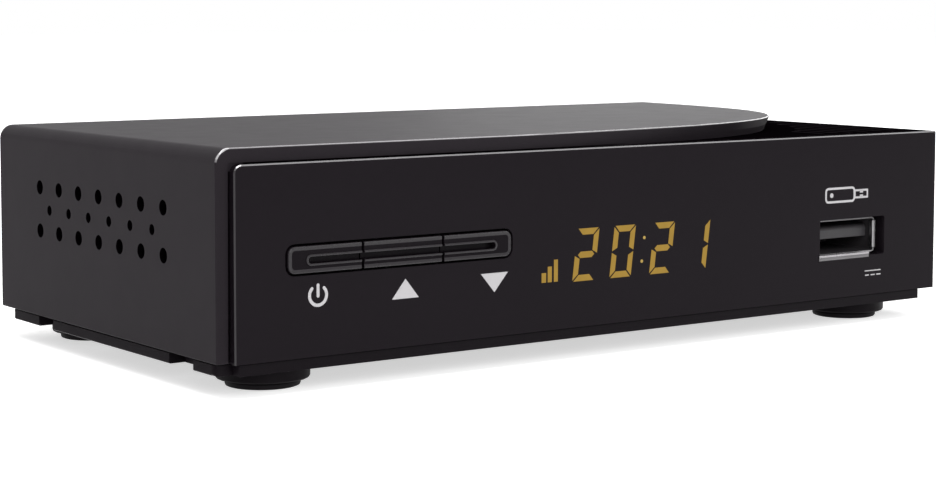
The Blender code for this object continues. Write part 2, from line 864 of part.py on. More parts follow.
def base_tray():
    piece = linked("base_tray", base_slab())
    joined(piece, plinth(), upstand())
    cut(piece, tray_hollow())
    for place in screw_places().values():
        joined(piece, rod("Z", place, COLUMN_RADIUS, (BASE_TOP - SINK, UPSTAND_TOP)))
    for place in board_screw_places().values():
        joined(piece, rod("Z", place, STANDOFF_RADIUS, (BASE_TOP - SINK, BOARD_UNDER - GAP)))
    for place in foot_places().values():
        joined(piece, foot_boss(place))
    pockets = [
        rod("Z", place, FOOT_NECK + GAP, (0, FOOT_BOSS_BOTTOM + FOOT_POCKET))
        for place in foot_places().values()
    ]
    cut(piece, *pockets)
    head_room = BASE_BOTTOM + SCREW_HEAD_RISE
    for place in screw_places().values():
        cut(piece, rod("Z", place, SCREW_HEAD + GAP, (BASE_BOTTOM - OVERRUN, head_room)))
        shaft = (BASE_BOTTOM, UPSTAND_TOP + OVERRUN)
        cut(piece, rod("Z", place, SCREW_SHANK + GAP, shaft, SMALL_STEPS))
    pilots = [
        rod("Z", place, BOARD_SCREW_SHANK + GAP, (BASE_TOP, BOARD_TOP), SMALL_STEPS)
        for place in board_screw_places().values()
    ]
    cut(piece, *pilots)
    notches = (
        (FRONT + NOTCH_FRONT, NOTCH_FRONT_LENGTH),
        (REAR - NOTCH_REAR_INSET, NOTCH_REAR_LENGTH),
    )
    cut(piece, *[side_notch(side, *notch) for side in (-1, 1) for notch in notches])
    cut(piece, *floor_slots())
    finished(piece, "base_tray", SATIN_BLACK)


def rubber_foot(name, place):
    """Round foot with a ring at the floor and a neck that sits in its boss."""
    top = FOOT_BOSS_BOTTOM + FOOT_POCKET - GAP
    profile = [
        (0, 0),
        (FOOT_RADIUS - FOOT_EDGE, 0),
        (FOOT_RADIUS, FOOT_EDGE),
        (FOOT_RADIUS, FOOT_RING_TALL),
        (FOOT_NECK, FOOT_RING_TALL),
        (FOOT_NECK, top),
        (0, top),
    ]
    piece = linked(name, turned(profile, "Z", place, ROUND_STEPS + 4))
    finished(piece, name, RUBBER)


HOUSING_SCREW = (SCREW_SHANK, SCREW_HEAD, SCREW_HEAD_TALL, SCREW_LENGTH)
BOARD_SCREW = (BOARD_SCREW_SHANK, BOARD_SCREW_HEAD, BOARD_SCREW_HEAD_TALL, BOARD_SCREW_LENGTH)


def screw(name, place, sizes, underside, away):
    """Pan-headed screw. Its shank points away from the underside of its head, up (1) or down (-1)."""
    shank, head, head_tall, length = sizes
    profile = [
        (0, underside - away * head_tall),
        (head * HEAD_CROWN_SHARE, underside - away * head_tall),
        (head, underside - away * head_tall * HEAD_RIM_SHARE),
        (head, underside),
        (shank, underside),
        (shank, underside + away * (length - shank)),
        (0, underside + away * length),
    ]
    piece = linked(name, turned(profile, "Z", place, SMALL_STEPS))
    finished(piece, name, STEEL)


# Front panel

def panel_outline():
    """Front outline of the plate: round corners on the left, square ones on the right."""
    z = (BODY_BOTTOM, TIER_HEIGHT)
    rounded = rounded_rectangle((PANEL_LEFT, HALF_WIDTH), z, PANEL_CORNER)
    left = [point for point in rounded if point[0] < PANEL_LEFT + PANEL_CORNER + GAP]
    return [(HALF_WIDTH, z[1])] + left + [(HALF_WIDTH, z[0])]


def panel_plate():
    shape = prism(panel_outline(), "Y", (PANEL_FACE, PANEL_BACK))
    return bevelled(shape, PANEL_BEVEL, edge_at("Y", PANEL_FACE), segments=2)


def panel_rim():
    """Wall behind the plate that enters the housing."""
    inner = INNER_HALF - GAP
    return block((-inner, inner), (PANEL_BACK - SINK, PANEL_BACK + RIM_DEPTH), (RIM_BOTTOM, RIM_TOP))


def rim_hollow():
    inner = INNER_HALF - GAP - RIM_THICK
    y = (PANEL_BACK, PANEL_BACK + RIM_DEPTH + OVERRUN)
    return block((-inner, inner), y, (RIM_BOTTOM + RIM_THICK, RIM_TOP - RIM_THICK))


def post_places():
    left = PANEL_LEFT + POST_LEFT_INSET
    right = USB_X - POST_TO_USB
    high = FRONT_BOARD_HIGH - POST_DROP
    return [(x, z) for x in (left, right) for z in (POST_LOW, high)]


def front_panel():
    piece = linked("front_panel", panel_plate())
    joined(piece, panel_rim())
    cut(piece, rim_hollow())
    post_span = (PANEL_BACK - SINK, FRONT_BOARD_FACE - GAP)
    for place in post_places():
        joined(piece, rod("Y", place, POST_RADIUS, post_span, SMALL_STEPS))
    through = (PANEL_FACE - OVERRUN, PANEL_BACK + OVERRUN / 4)
    key_x = about(KEY_BAR_X, KEY_BAR_WIDTH + 2 * GAP)
    key_z = about(KEY_BAR_HEIGHT, KEY_TALL + 2 * GAP)
    cut(piece, prism(rounded_rectangle(key_x, key_z, KEY_CORNER + GAP), "Y", through))
    usb_x = about(USB_X, USB_WINDOW_WIDTH)
    usb_z = about(USB_HEIGHT, USB_WINDOW_TALL)
    cut(piece, prism(rounded_rectangle(usb_x, usb_z, PANEL_BEVEL, 2), "Y", through))
    finished(piece, "front_panel", GLOSS_BLACK)


# Keys and switches

def key_outline(name, x, width):
    """Front outline of a key. The outer keys have round corners on their outer side."""
    left, right = about(x, width)
    low, high = about(KEY_BAR_HEIGHT, KEY_TALL)
    whole = rounded_rectangle(about(x, width), (low, high), KEY_CORNER)
    turn = CORNER_STEPS + 1
    right_top = whole[:turn] if name == "down" else [(right, high)]
    left_top = whole[turn:2 * turn] if name == "power" else [(left, high)]
    left_low = whole[2 * turn:3 * turn] if name == "power" else [(left, low)]
    right_low = whole[3 * turn:] if name == "down" else [(right, low)]
    return right_top + left_top + left_low + right_low


def key_groove():
    x = about(KEY_BAR_X, GROOVE_WIDTH)
    z = about(KEY_BAR_HEIGHT, GROOVE_TALL)
    outline = rounded_rectangle(x, z, GROOVE_TALL / 2 - GAP / 10)
    return prism(outline, "Y", (KEY_FACE - OVERRUN, KEY_FACE + GROOVE_DEEP))


def key(name):
    """Key cap with its flange behind the panel and its stem towards the switch."""
    x, width = KEYS[name]
    flange_front = PANEL_BACK + GAP
    flange_back = flange_front + KEY_FLANGE_THICK
    cap = prism(key_outline(name, x, width), "Y", (KEY_FACE, flange_front + SINK))
    piece = linked("key", bevelled(cap, KEY_EDGE, edge_at("Y", KEY_FACE), segments=2))
    flange_z = about(KEY_BAR_HEIGHT, KEY_TALL + 2 * KEY_FLANGE)
    joined(piece, block(about(x, width), (flange_front, flange_back), flange_z))
    stem = (flange_back - SINK, PLUNGER_FRONT - GAP)
    joined(piece, rod("Y", (x, KEY_BAR_HEIGHT), KEY_STEM_RADIUS, stem, SMALL_STEPS))
    cut(piece, key_groove())
    finished(piece, "key_" + name, KEY_BLACK)
    hung_on(piece, Vector((x, KEY_FACE, KEY_BAR_HEIGHT)))
    return piece


def switch(name):
    x = KEYS[name][0]
    span = (SWITCH_FACE, SWITCH_FACE + SWITCH_DEEP)
    body = block(about(x, SWITCH_SIZE), span, about(KEY_BAR_HEIGHT, SWITCH_SIZE))
    piece = linked("switch", body)
    bore = (SWITCH_FACE - OVERRUN, SWITCH_FACE + PLUNGER_HOLD + KEY_TRAVEL + GAP)
    cut(piece, rod("Y", (x, KEY_BAR_HEIGHT), PLUNGER_RADIUS + GAP, bore, SMALL_STEPS))
    finished(piece, "switch_" + name, STEEL, smooth=False)


def plunger(name, carrier):
    """Plunger of the switch, which the key's stem pushes in."""
    x = KEYS[name][0]
    span = (PLUNGER_FRONT, SWITCH_FACE + PLUNGER_HOLD)
    piece = linked("plunger", rod("Y", (x, KEY_BAR_HEIGHT), PLUNGER_RADIUS, span, SMALL_STEPS))
    finished(piece, "plunger_" + name, MOULDED_BLACK)
    hung_on(piece, carrier.location)
    piece.location = (0, 0, 0)
    piece.parent = carrier


# Front board, display and sensor

def front_board():
    x = (PANEL_LEFT + FRONT_BOARD_LEFT_INSET, USB_X - FRONT_BOARD_TO_USB)
    y = (FRONT_BOARD_FACE, FRONT_BOARD_FACE + BOARD_THICK)
    piece = linked("front_board", block(x, y, (FRONT_BOARD_LOW, FRONT_BOARD_HIGH)))
    finished(piece, "front_board", BOARD_GREEN, smooth=False)


def display_module():
    left = KEY_BAR_X + KEY_BAR_WIDTH / 2 + KEY_TO_DISPLAY
    right = SENSOR_X - SENSOR_WIDTH / 2 - DISPLAY_TO_SENSOR
    y = (PANEL_BACK + GAP, FRONT_BOARD_FACE - GAP)
    shape = block((left, right), y, about(DISPLAY_HEIGHT, DISPLAY_TALL))
    piece = linked("display", bevelled(shape, DISPLAY_CHAMFER, edge_at("Y", y[0])))
    finished(piece, "display_module", MOULDED_BLACK, smooth=False)


def ir_receiver():
    back = FRONT_BOARD_FACE - GAP
    face = back - SENSOR_DEEP
    height = FRONT_BOARD_HIGH - SENSOR_DROP
    case = block(about(SENSOR_X, SENSOR_WIDTH), (face, back), about(height, SENSOR_TALL))
    piece = linked("sensor", case)
    dome = [(0, face - SENSOR_DOME)]
    for step in range(1, CORNER_STEPS + 1):
        angle = math.pi / 2 * step / CORNER_STEPS
        dome.append((SENSOR_DOME * math.sin(angle), face - SENSOR_DOME * math.cos(angle)))
    dome += [(SENSOR_DOME, face + SINK), (0, face + SINK)]
    joined(piece, turned(dome, "Y", (SENSOR_X, height), SMALL_STEPS))
    finished(piece, "ir_receiver", MOULDED_BLACK)


# USB socket

def usb_outline(margin):
    x = about(USB_X, USB_WIDTH + 2 * margin)
    z = about(USB_HEIGHT, USB_TALL + 2 * margin)
    return rounded_rectangle(x, z, USB_CORNER + margin, 2)


def usb_corner_notches(front):
    """Cuts that part the four lips at the corners of the mouth."""
    notches = []
    for side in (-1, 1):
        for upright in (-1, 1):
            near_x = USB_X + side * (USB_WIDTH / 2 - USB_CORNER)
            near_z = USB_HEIGHT + upright * (USB_TALL / 2 - USB_CORNER)
            x = sorted((near_x, near_x + side * OVERRUN))
            z = sorted((near_z, near_z + upright * OVERRUN))
            notches.append(block(x, (front - OVERRUN, front + USB_LIP), z))
    return notches


def usb_shell():
    """Folded steel shell, open at both ends, with four lips turned out at its mouth."""
    front = FRONT + USB_FRONT
    back = front + USB_LENGTH
    bend = front + USB_LIP
    outside = [(usb_outline(USB_FLARE), front), (usb_outline(0), bend), (usb_outline(0), back)]
    piece = linked("shell", lofted(outside, "Y"))
    inside = [
        (usb_outline(2 * USB_FLARE - USB_WALL), front - USB_LIP),
        (usb_outline(-USB_WALL), bend),
        (usb_outline(-USB_WALL), back + OVERRUN),
    ]
    cut(piece, lofted(inside, "Y"))
    cut(piece, *usb_corner_notches(front))
    finished(piece, "usb_shell", TINPLATE)


def usb_tongue():
    """Insulator: a tongue that carries the contacts, on a block that closes the shell's back."""
    front = FRONT + USB_FRONT
    back = front + USB_LENGTH
    room = USB_WALL + GAP
    block_x = about(USB_X, USB_WIDTH - 2 * room)
    block_z = about(USB_HEIGHT, USB_TALL - 2 * room)
    piece = linked("tongue", block(block_x, (back - TONGUE_BLOCK, back), block_z))
    tongue_z = about(USB_HEIGHT + TONGUE_RISE, TONGUE_TALL)
    span = (front + TONGUE_SETBACK, back - TONGUE_BLOCK + SINK)
    joined(piece, block(about(USB_X, TONGUE_WIDTH), span, tongue_z))
    finished(piece, "usb_tongue", MOULDED_BLACK, smooth=False)


# Main board

def main_board():
    """Board with a step forward under the USB socket and holes for its screws."""
    half = HALF_WIDTH - BOARD_SIDE_INSET
    step = USB_X - BOARD_STEP_TO_USB
    front = FRONT + BOARD_FRONT
    step_front = FRONT + BOARD_STEP_FRONT
    outline = [
        (-half, front),
        (step, front),
        (step, step_front),
        (half, step_front),
        (half, BOARD_REAR),
        (-half, BOARD_REAR),
    ]
    piece = linked("board", prism(outline, "Z", (BOARD_UNDER, BOARD_TOP)))
    through = (BOARD_UNDER - OVERRUN, BOARD_TOP + OVERRUN)
    holes = [
        rod("Z", place, BOARD_SCREW_SHANK + GAP, through, SMALL_STEPS)
        for place in board_screw_places().values()
    ]
    cut(piece, *holes)
    finished(piece, "main_board", BOARD_GREEN)


def board_link():
    """Header that joins the front board to the main board."""
    y = (FRONT + BOARD_FRONT, FRONT + BOARD_FRONT + LINK_DEEP)
    shape = block(about(0, LINK_WIDTH), y, (ON_BOARD, ON_BOARD + LINK_TALL))
    piece = linked("link", bevelled(shape, GAP, edge_at("Z", ON_BOARD + LINK_TALL)))
    finished(piece, "board_link", MOULDED_BLACK, smooth=False)


def decoder_chip():
    y = about(CHIP_Y, CHIP_SIZE)
    shape = block(about(CHIP_X, CHIP_SIZE), y, (ON_BOARD, ON_BOARD + CHIP_TALL))
    piece = linked("chip", bevelled(shape, GAP, edge_at("Z", ON_BOARD + CHIP_TALL)))
    finished(piece, "decoder_chip", CHIP_BLACK, smooth=False)


def heat_sink():
    low = ON_BOARD + CHIP_TALL + GAP
    x = about(CHIP_X, SINK_SIZE)
    y = about(CHIP_Y, SINK_SIZE)
    piece = linked("sink", block(x, y, (low, low + SINK_TALL)))
    pitch = (SINK_SIZE - SINK_FIN_THICK) / (SINK_FINS - 1)
    channels = []
    for i in range(SINK_FINS - 1):
        start = x[0] + i * pitch + SINK_FIN_THICK
        span = (start, start + pitch - SINK_FIN_THICK)
        channels.append(
            block(span, (y[0] - OVERRUN, y[1] + OVERRUN), (low + SINK_BASE, low + SINK_TALL + OVERRUN))
        )
    cut(piece, *channels)
    finished(piece, "heat_sink", ALUMINIUM, smooth=False)


def package(name, x, y, width, length, tall):
    """Small moulded component with a bevelled top."""
    top = ON_BOARD + tall
    shape = block(about(x, width), about(FRONT + y, length), (ON_BOARD, top))
    return linked(name, bevelled(shape, GAP, edge_at("Z", top)))


def small_parts():
    memory = package("memory", MEMORY_X, MEMORY_Y, MEMORY_WIDTH, MEMORY_LENGTH, MEMORY_TALL)
    finished(memory, "memory_chip", CHIP_BLACK, smooth=False)
    flash = package("flash", FLASH_X, FLASH_Y, FLASH_WIDTH, FLASH_LENGTH, FLASH_TALL)
    finished(flash, "flash_chip", CHIP_BLACK, smooth=False)
    crystal = package("crystal", CRYSTAL_X, CRYSTAL_Y, CRYSTAL_WIDTH, CRYSTAL_LENGTH, CRYSTAL_TALL)
    finished(crystal, "crystal", STEEL, smooth=False)


def power_coil():
    place = (COIL_X, FRONT + COIL_Y)
    seat = (ON_BOARD, ON_BOARD + COIL_BASE)
    piece = linked("coil", block(about(place[0], COIL_SIZE), about(place[1], COIL_SIZE), seat))
    joined(piece, rod("Z", place, COIL_RADIUS, (ON_BOARD + SINK, ON_BOARD + COIL_TALL)))
    finished(piece, "power_coil", MOULDED_BLACK)


def capacitor(name, x, y, radius, tall):
    """Upright electrolytic capacitor on a seat ring."""
    low = ON_BOARD
    seat = low + CAPACITOR_SEAT
    profile = [
        (0, low),
        (radius, low),
        (radius, seat),
        (radius - CAPACITOR_EDGE, seat + CAPACITOR_EDGE),
        (radius, seat + 2 * CAPACITOR_EDGE),
        (radius, low + tall - CAPACITOR_EDGE),
        (radius - CAPACITOR_EDGE, low + tall),
        (0, low + tall),
    ]
    piece = linked(name, turned(profile, "Z", (x, FRONT + y), SMALL_STEPS))
    finished(piece, name, MOULDED_BLACK)


# Rear panel and its sockets

def rear_outline():
    """The opening between the side walls, with the step under the raised deck."""
    half = INNER_HALF - GAP
    step = pocket_line()[-1][0] - GAP
    low = BASE_TOP + GAP
    high = DECK_UNDER - GAP
    tier = TIER_UNDER - GAP
    return [(-half, low), (half, low), (half, tier), (step, tier), (step, high), (-half, high)]


def aerial_height():
    return BOARD_TOP + AERIAL_RISE


def scart_outline(margin):
    x = about(SCART_X, SCART_WIDTH + 2 * margin)
    z = about(ON_BOARD + SCART_RISE, SCART_TALL + 2 * margin)
    return chamfered_rectangle(x, z, SCART_CHAMFER)


def hdmi_outline(margin):
    x = about(HDMI_X, HDMI_WIDTH + 2 * margin)
    z = about(ON_BOARD + HDMI_TALL / 2, HDMI_TALL + 2 * margin)
    return chamfered_rectangle(x, z, HDMI_CHAMFER)


def rear_panel():
    piece = linked("rear", prism(rear_outline(), "Y", (REAR_INSIDE, REAR_OUTSIDE)))
    through = (REAR_INSIDE - OVERRUN, REAR_OUTSIDE + OVERRUN)
    height = aerial_height()
    audio_z = ON_BOARD + AUDIO_RISE
    dc_z = about(ON_BOARD + DC_TALL / 2, DC_TALL + 2 * GAP)
    cut(
        piece,
        rod("Y", (AERIAL_IN_X, height), AERIAL_RADIUS + GAP, through),
        rod("Y", (AERIAL_OUT_X, height), AERIAL_RADIUS + GAP, through),
        prism(hdmi_outline(GAP), "Y", through),
        prism(scart_outline(SCART_MARGIN + GAP), "Y", through),
        rod("Y", (AUDIO_X, audio_z), AUDIO_NOSE + GAP, through),
        prism(rectangle(about(DC_X, DC_WIDTH + 2 * GAP), dc_z), "Y", through),
    )
    finished(piece, "rear_panel", SATIN_BLACK)


def tuner_can():
    left = TUNER_INSET - HALF_WIDTH
    y = (FRONT + TUNER_FRONT, REAR_INSIDE - GAP)
    top = ON_BOARD + TUNER_TALL
    shape = block((left, left + TUNER_WIDTH), y, (ON_BOARD, top))
    piece = linked("tuner", bevelled(shape, TUNER_WALL_EDGE, edge_at("Z", top)))
    finished(piece, "tuner_can", TINPLATE, smooth=False)


def aerial_profile(core_hole):
    """Outer sleeve and inner core of an aerial socket, turned about its own axis."""
    start = REAR_INSIDE
    mouth = REAR_OUTSIDE + SOCKET_PROUD
    floor = REAR_OUTSIDE + AERIAL_FLOOR
    core_end = mouth - AERIAL_CORE_SETBACK
    collar = REAR_OUTSIDE + GAP
    collar_end = collar + AERIAL_COLLAR_PROUD
    profile = [
        (0, start),
        (AERIAL_RADIUS, start),
        (AERIAL_RADIUS, collar),
        (AERIAL_COLLAR, collar),
        (AERIAL_COLLAR, collar_end),
        (AERIAL_RADIUS, collar_end),
        (AERIAL_RADIUS, mouth - GAP),
        (AERIAL_RADIUS - GAP, mouth),
        (AERIAL_BORE, mouth),
        (AERIAL_BORE, floor),
    ]
    if core_hole:
        profile += [(AERIAL_CORE, floor), (AERIAL_CORE, core_end), (AERIAL_HOLE, core_end)]
        profile += [(AERIAL_HOLE, floor), (0, floor)]
    else:
        profile += [(AERIAL_HOLE, floor), (AERIAL_HOLE, core_end - GAP), (0, core_end)]
    return profile


def aerial_socket(name, x, core_hole):
    piece = linked(name, turned(aerial_profile(core_hole), "Y", (x, aerial_height())))
    finished(piece, name, NICKEL)


def hdmi_socket():
    back = REAR_OUTSIDE + HDMI_PROUD
    front = back - HDMI_LENGTH
    shell = linked("hdmi", prism(hdmi_outline(0), "Y", (front, back)))
    cut(shell, prism(hdmi_outline(-HDMI_WALL), "Y", (front - OVERRUN, back + OVERRUN)))
    finished(shell, "hdmi_shell", TINPLATE, smooth=False)
    room = HDMI_WALL + GAP
    tongue = linked("hdmi", prism(hdmi_outline(-room), "Y", (front, front + HDMI_BLOCK)))
    z = about(ON_BOARD + HDMI_TALL / 2, HDMI_TONGUE_TALL)
    span = (front + HDMI_BLOCK - SINK, back - HDMI_TONGUE_SETBACK)
    joined(tongue, block(about(HDMI_X, HDMI_TONGUE_WIDTH), span, z))
    finished(tongue, "hdmi_tongue", MOULDED_BLACK, smooth=False)


def scart_pin_slots(back):
    slots = []
    middle = ON_BOARD + SCART_RISE
    for row in (-1, 1):
        for i in range(SCART_PINS):
            shift = SCART_PIN_PITCH / 4 * row
            x = SCART_X + (i - (SCART_PINS - 1) / 2) * SCART_PIN_PITCH + shift
            z = about(middle + row * SCART_PIN_ROW, SCART_PIN_TALL)
            slots.append(block(about(x, SCART_PIN_WIDE), (back - SCART_PIN_DEEP, back + OVERRUN), z))
    return slots


def scart_socket():
    """Moulded block with two rows of contact slots."""
    back = REAR_OUTSIDE
    piece = linked("scart", prism(scart_outline(0), "Y", (SCART_FRONT, back)))
    cut(piece, *scart_pin_slots(back))
    foot_z = (ON_BOARD, ON_BOARD + SCART_RISE - SCART_TALL / 2 + SINK)
    foot_y = (SCART_FRONT, back - SCART_SHIELD_DEEP - GAP)
    foot_x = about(SCART_X, SCART_WIDTH - 2 * SCART_CHAMFER)
    joined(piece, block(foot_x, foot_y, foot_z))
    finished(piece, "scart_socket", MOULDED_BLACK, smooth=False)


def scart_shield():
    """Folded metal ring round the SCART block."""
    span = (REAR_OUTSIDE - SCART_SHIELD_DEEP, REAR_OUTSIDE + SCART_PROUD)
    piece = linked("shield", prism(scart_outline(SCART_MARGIN), "Y", span))
    inner = (span[0] - OVERRUN, span[1] + OVERRUN)
    cut(piece, prism(scart_outline(SCART_SHIELD_GAP), "Y", inner))
    finished(piece, "scart_shield", TINPLATE, smooth=False)


def audio_socket():
    """Square housing with a round nose through the rear panel."""
    z = ON_BOARD + AUDIO_RISE
    front = REAR_INSIDE - GAP - AUDIO_DEEP
    body = block(about(AUDIO_X, AUDIO_BODY), (front, REAR_INSIDE - GAP), (ON_BOARD, z + AUDIO_BODY / 2))
    piece = linked("audio", body)
    nose = (front + SINK, REAR_OUTSIDE + AUDIO_NOSE_PROUD)
    joined(piece, rod("Y", (AUDIO_X, z), AUDIO_NOSE, nose))
    ring_floor = REAR_INSIDE - GAP
    cut(piece, rod("Y", (AUDIO_X, z), AUDIO_RING + GAP, (ring_floor, nose[1] + OVERRUN)))
    finished(piece, "audio_socket", AMBER)


def audio_ring():
    """Metal ring of the coaxial audio socket, with its insulated centre contact."""
    z = ON_BOARD + AUDIO_RISE
    start = REAR_INSIDE
    mouth = REAR_OUTSIDE + AUDIO_PROUD
    floor = REAR_OUTSIDE + AUDIO_NOSE_PROUD
    profile = [
        (0, start),
        (AUDIO_RING, start),
        (AUDIO_RING, mouth - GAP),
        (AUDIO_RING - GAP, mouth),
        (AUDIO_BORE, mouth),
        (AUDIO_BORE, floor),
        (AUDIO_CORE, floor),
        (AUDIO_CORE, mouth - AUDIO_NOSE_PROUD),
        (AUDIO_HOLE, mouth - AUDIO_NOSE_PROUD),
        (AUDIO_HOLE, floor),
        (0, floor),
    ]
    piece = linked("ring", turned(profile, "Y", (AUDIO_X, z), ROUND_STEPS))
    finished(piece, "audio_ring", NICKEL)


def dc_inlet():
    back = REAR_OUTSIDE + DC_PROUD
    z = (ON_BOARD, ON_BOARD + DC_TALL)
    piece = linked("dc", block(about(DC_X, DC_WIDTH), (back - DC_DEEP, back), z))
    centre = (DC_X, ON_BOARD + DC_RISE)
    cut(piece, rod("Y", centre, DC_BORE, (back - DC_BORE_DEEP, back + OVERRUN)))
    finished(piece, "dc_inlet", MOULDED_BLACK)
    floor = back - DC_BORE_DEEP + GAP
    tip = back - DC_PIN_SETBACK
    profile = [(0, floor), (DC_PIN, floor), (DC_PIN, tip - DC_PIN / 2), (0, tip)]
    pin = linked("pin", turned(profile, "Y", centre, SMALL_STEPS))
    finished(pin, "dc_pin", NICKEL)


def build():
    for item in list(bpy.data.objects):
        bpy.data.objects.remove(item)
    upper_housing()
    base_tray()
    front_panel()
    rear_panel()
    for corner, place in foot_places().items():
        rubber_foot("foot_" + corner, place)
    for name in KEYS:
        carrier = key(name)
        switch(name)
        plunger(name, carrier)
    front_board()
    display_module()
    ir_receiver()
    usb_shell()
    usb_tongue()
    main_board()
    board_link()
    decoder_chip()
    heat_sink()
    small_parts()
    power_coil()
    for name, sizes in CAPACITORS.items():
        capacitor(name, **sizes)
    tuner_can()
    aerial_socket("aerial_in_socket", AERIAL_IN_X, True)
    aerial_socket("aerial_out_socket", AERIAL_OUT_X, False)
    hdmi_socket()
    scart_socket()
    scart_shield()
    audio_socket()
    audio_ring()
    dc_inlet()
    under_head = BASE_BOTTOM + SCREW_HEAD_RISE - GAP
    for corner, place in screw_places().items():
        screw("housing_screw_" + corner, place, HOUSING_SCREW, under_head, 1)
    for corner, place in board_screw_places().items():
        screw("board_screw_" + corner, place, BOARD_SCREW, ON_BOARD, -1)


build()
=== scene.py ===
"""Looks of the cable TV receiver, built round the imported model. Lengths are in millimetres."""

import math

import bmesh
import bpy
from mathutils import Matrix, Vector


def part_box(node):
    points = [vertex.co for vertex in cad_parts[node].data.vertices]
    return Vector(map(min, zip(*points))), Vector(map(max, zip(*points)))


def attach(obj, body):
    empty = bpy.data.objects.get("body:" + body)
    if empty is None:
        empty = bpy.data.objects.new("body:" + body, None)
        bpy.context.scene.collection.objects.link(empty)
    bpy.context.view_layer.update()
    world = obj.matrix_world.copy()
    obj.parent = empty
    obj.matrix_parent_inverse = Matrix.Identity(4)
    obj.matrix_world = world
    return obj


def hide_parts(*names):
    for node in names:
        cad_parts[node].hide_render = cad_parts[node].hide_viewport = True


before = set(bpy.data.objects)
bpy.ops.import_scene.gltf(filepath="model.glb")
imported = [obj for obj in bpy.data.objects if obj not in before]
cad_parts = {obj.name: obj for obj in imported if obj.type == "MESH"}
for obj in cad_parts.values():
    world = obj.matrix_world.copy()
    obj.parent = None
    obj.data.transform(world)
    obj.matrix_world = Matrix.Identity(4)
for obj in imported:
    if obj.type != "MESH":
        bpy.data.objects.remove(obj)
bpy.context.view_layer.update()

MM = 0.001
PLATE_FACE = -36.3
KEY_FACE = -36.8
KEY_BACK = -35.6
REAR_FACE = 28.8
HOUSING_SIDE = 65.0
DECK_RIM = 31.3
TIER_TOP = 29.5
STEP_SPLIT = 30.45
SEAT_FACE = -35.15
BOARD_TOP = 10.95

CORNERS = ("front_left", "front_right", "rear_left", "rear_right")
KEYS = ("power", "up", "down")
CAPACITORS = ("inlet", "output", "tuner", "usb")


# modelling by hand

def deselect():
    bpy.ops.object.select_all(action="DESELECT")


def take(piece):
    """Make one piece the selected, active one."""
    deselect()
    piece.select_set(True)
    bpy.context.view_layer.objects.active = piece


def open_up(piece, kind="FACE"):
    """Open a piece in edit mode with nothing picked."""
    take(piece)
    bpy.ops.object.mode_set(mode="EDIT")
    bpy.ops.mesh.select_mode(type=kind)
    bpy.ops.mesh.select_all(action="DESELECT")


def close_up():
    bpy.ops.object.mode_set(mode="OBJECT")


def pick(piece, test, kind="faces"):
    """Select the faces, edges or verts of the open piece that pass a test, and say how many."""
    mesh = bmesh.from_edit_mesh(piece.data)
    mesh.normal_update()
    count = 0
    for part in getattr(mesh, kind):
        wanted = bool(test(part))
        part.select_set(wanted)
        count += wanted
    mesh.select_flush_mode()
    bmesh.update_edit_mesh(piece.data)
    return count


def push(piece, test, move):
    """Move the verts of the open piece that pass a test."""
    pick(piece, test, "verts")
    bpy.ops.transform.translate(value=[m * MM for m in move])


def spread(piece, test, grow, about=(0, 0, 0)):
    """Scale the verts of the open piece that pass a test, about a place."""
    pick(piece, test, "verts")
    bpy.ops.transform.resize(value=grow, center_override=[a * MM for a in about])


def middle(part):
    """Middle of a face, edge or vertex, in millimetres."""
    if isinstance(part, bmesh.types.BMVert):
        return part.co / MM
    if isinstance(part, bmesh.types.BMEdge):
        return (part.verts[0].co + part.verts[1].co) / (2 * MM)
    return part.calc_center_median() / MM


def settle(piece):
    """Put the piece's place into its mesh, so that its object sits at the origin."""
    take(piece)
    bpy.ops.object.transform_apply(location=True, rotation=True, scale=True)


def named(name):
    piece = bpy.context.active_object
    piece.name = name
    piece.data.name = name
    settle(piece)
    return piece


def block(name, low, high):
    deselect()
    centre = [(a + b) / 2 * MM for a, b in zip(low, high)]
    size = [(b - a) * MM for a, b in zip(low, high)]
    bpy.ops.mesh.primitive_cube_add(size=1, location=centre, scale=size)
    return named(name)


ROD_TURNS = {"X": (0, math.pi / 2, 0), "Y": (math.pi / 2, 0, 0), "Z": (0, 0, 0)}


def rod(name, centre, radius, length, axis="Y", sides=48):
    """Cylinder whose middle is at the centre."""
    deselect()
    bpy.ops.mesh.primitive_cylinder_add(
        vertices=sides, radius=radius * MM, depth=length * MM,
        location=[c * MM for c in centre], rotation=ROD_TURNS[axis],
    )
    return named(name)


def turned(name, steps, centre, axis="Z", sides=48):
    """Turned piece: a disc drawn up along the axis through (radius, height) pairs."""
    deselect()
    radius, height = steps[0]
    bpy.ops.mesh.primitive_circle_add(
        vertices=sides, radius=radius * MM, fill_type="NGON", location=(0, 0, height * MM)
    )
    piece = named(name)
    open_up(piece)
    bpy.ops.mesh.select_all(action="SELECT")
    for next_radius, next_height in steps[1:]:
        bpy.ops.mesh.extrude_region()
        bpy.ops.transform.translate(value=(0, 0, (next_height - height) * MM))
        grow = next_radius / radius
        if abs(grow - 1) > 1e-6:
            bpy.ops.transform.resize(value=(grow, grow, 1),
                                     center_override=(0, 0, next_height * MM))
        radius, height = next_radius, next_height
    bpy.ops.mesh.select_all(action="SELECT")
    bpy.ops.mesh.normals_make_consistent(inside=False)
    close_up()
    if axis == "Y":
        piece.rotation_euler = (-math.pi / 2, 0, 0)
    piece.location = [c * MM for c in centre]
    settle(piece)
    return piece


def apply_modifier(piece, kind, **settings):
    take(piece)
    modifier = piece.modifiers.new(kind.lower(), kind)
    for key, value in settings.items():
        setattr(modifier, key, value)
    bpy.ops.object.modifier_apply(modifier=modifier.name)


def scrap(*pieces):
    for piece in pieces:
        bpy.data.objects.remove(piece)


def combine(piece, others, operation):
    for other in others:
        apply_modifier(piece, "BOOLEAN", operation=operation, solver="EXACT", object=other)
        scrap(other)
    return piece


def cut(piece, *cutters):
    return combine(piece, cutters, "DIFFERENCE")


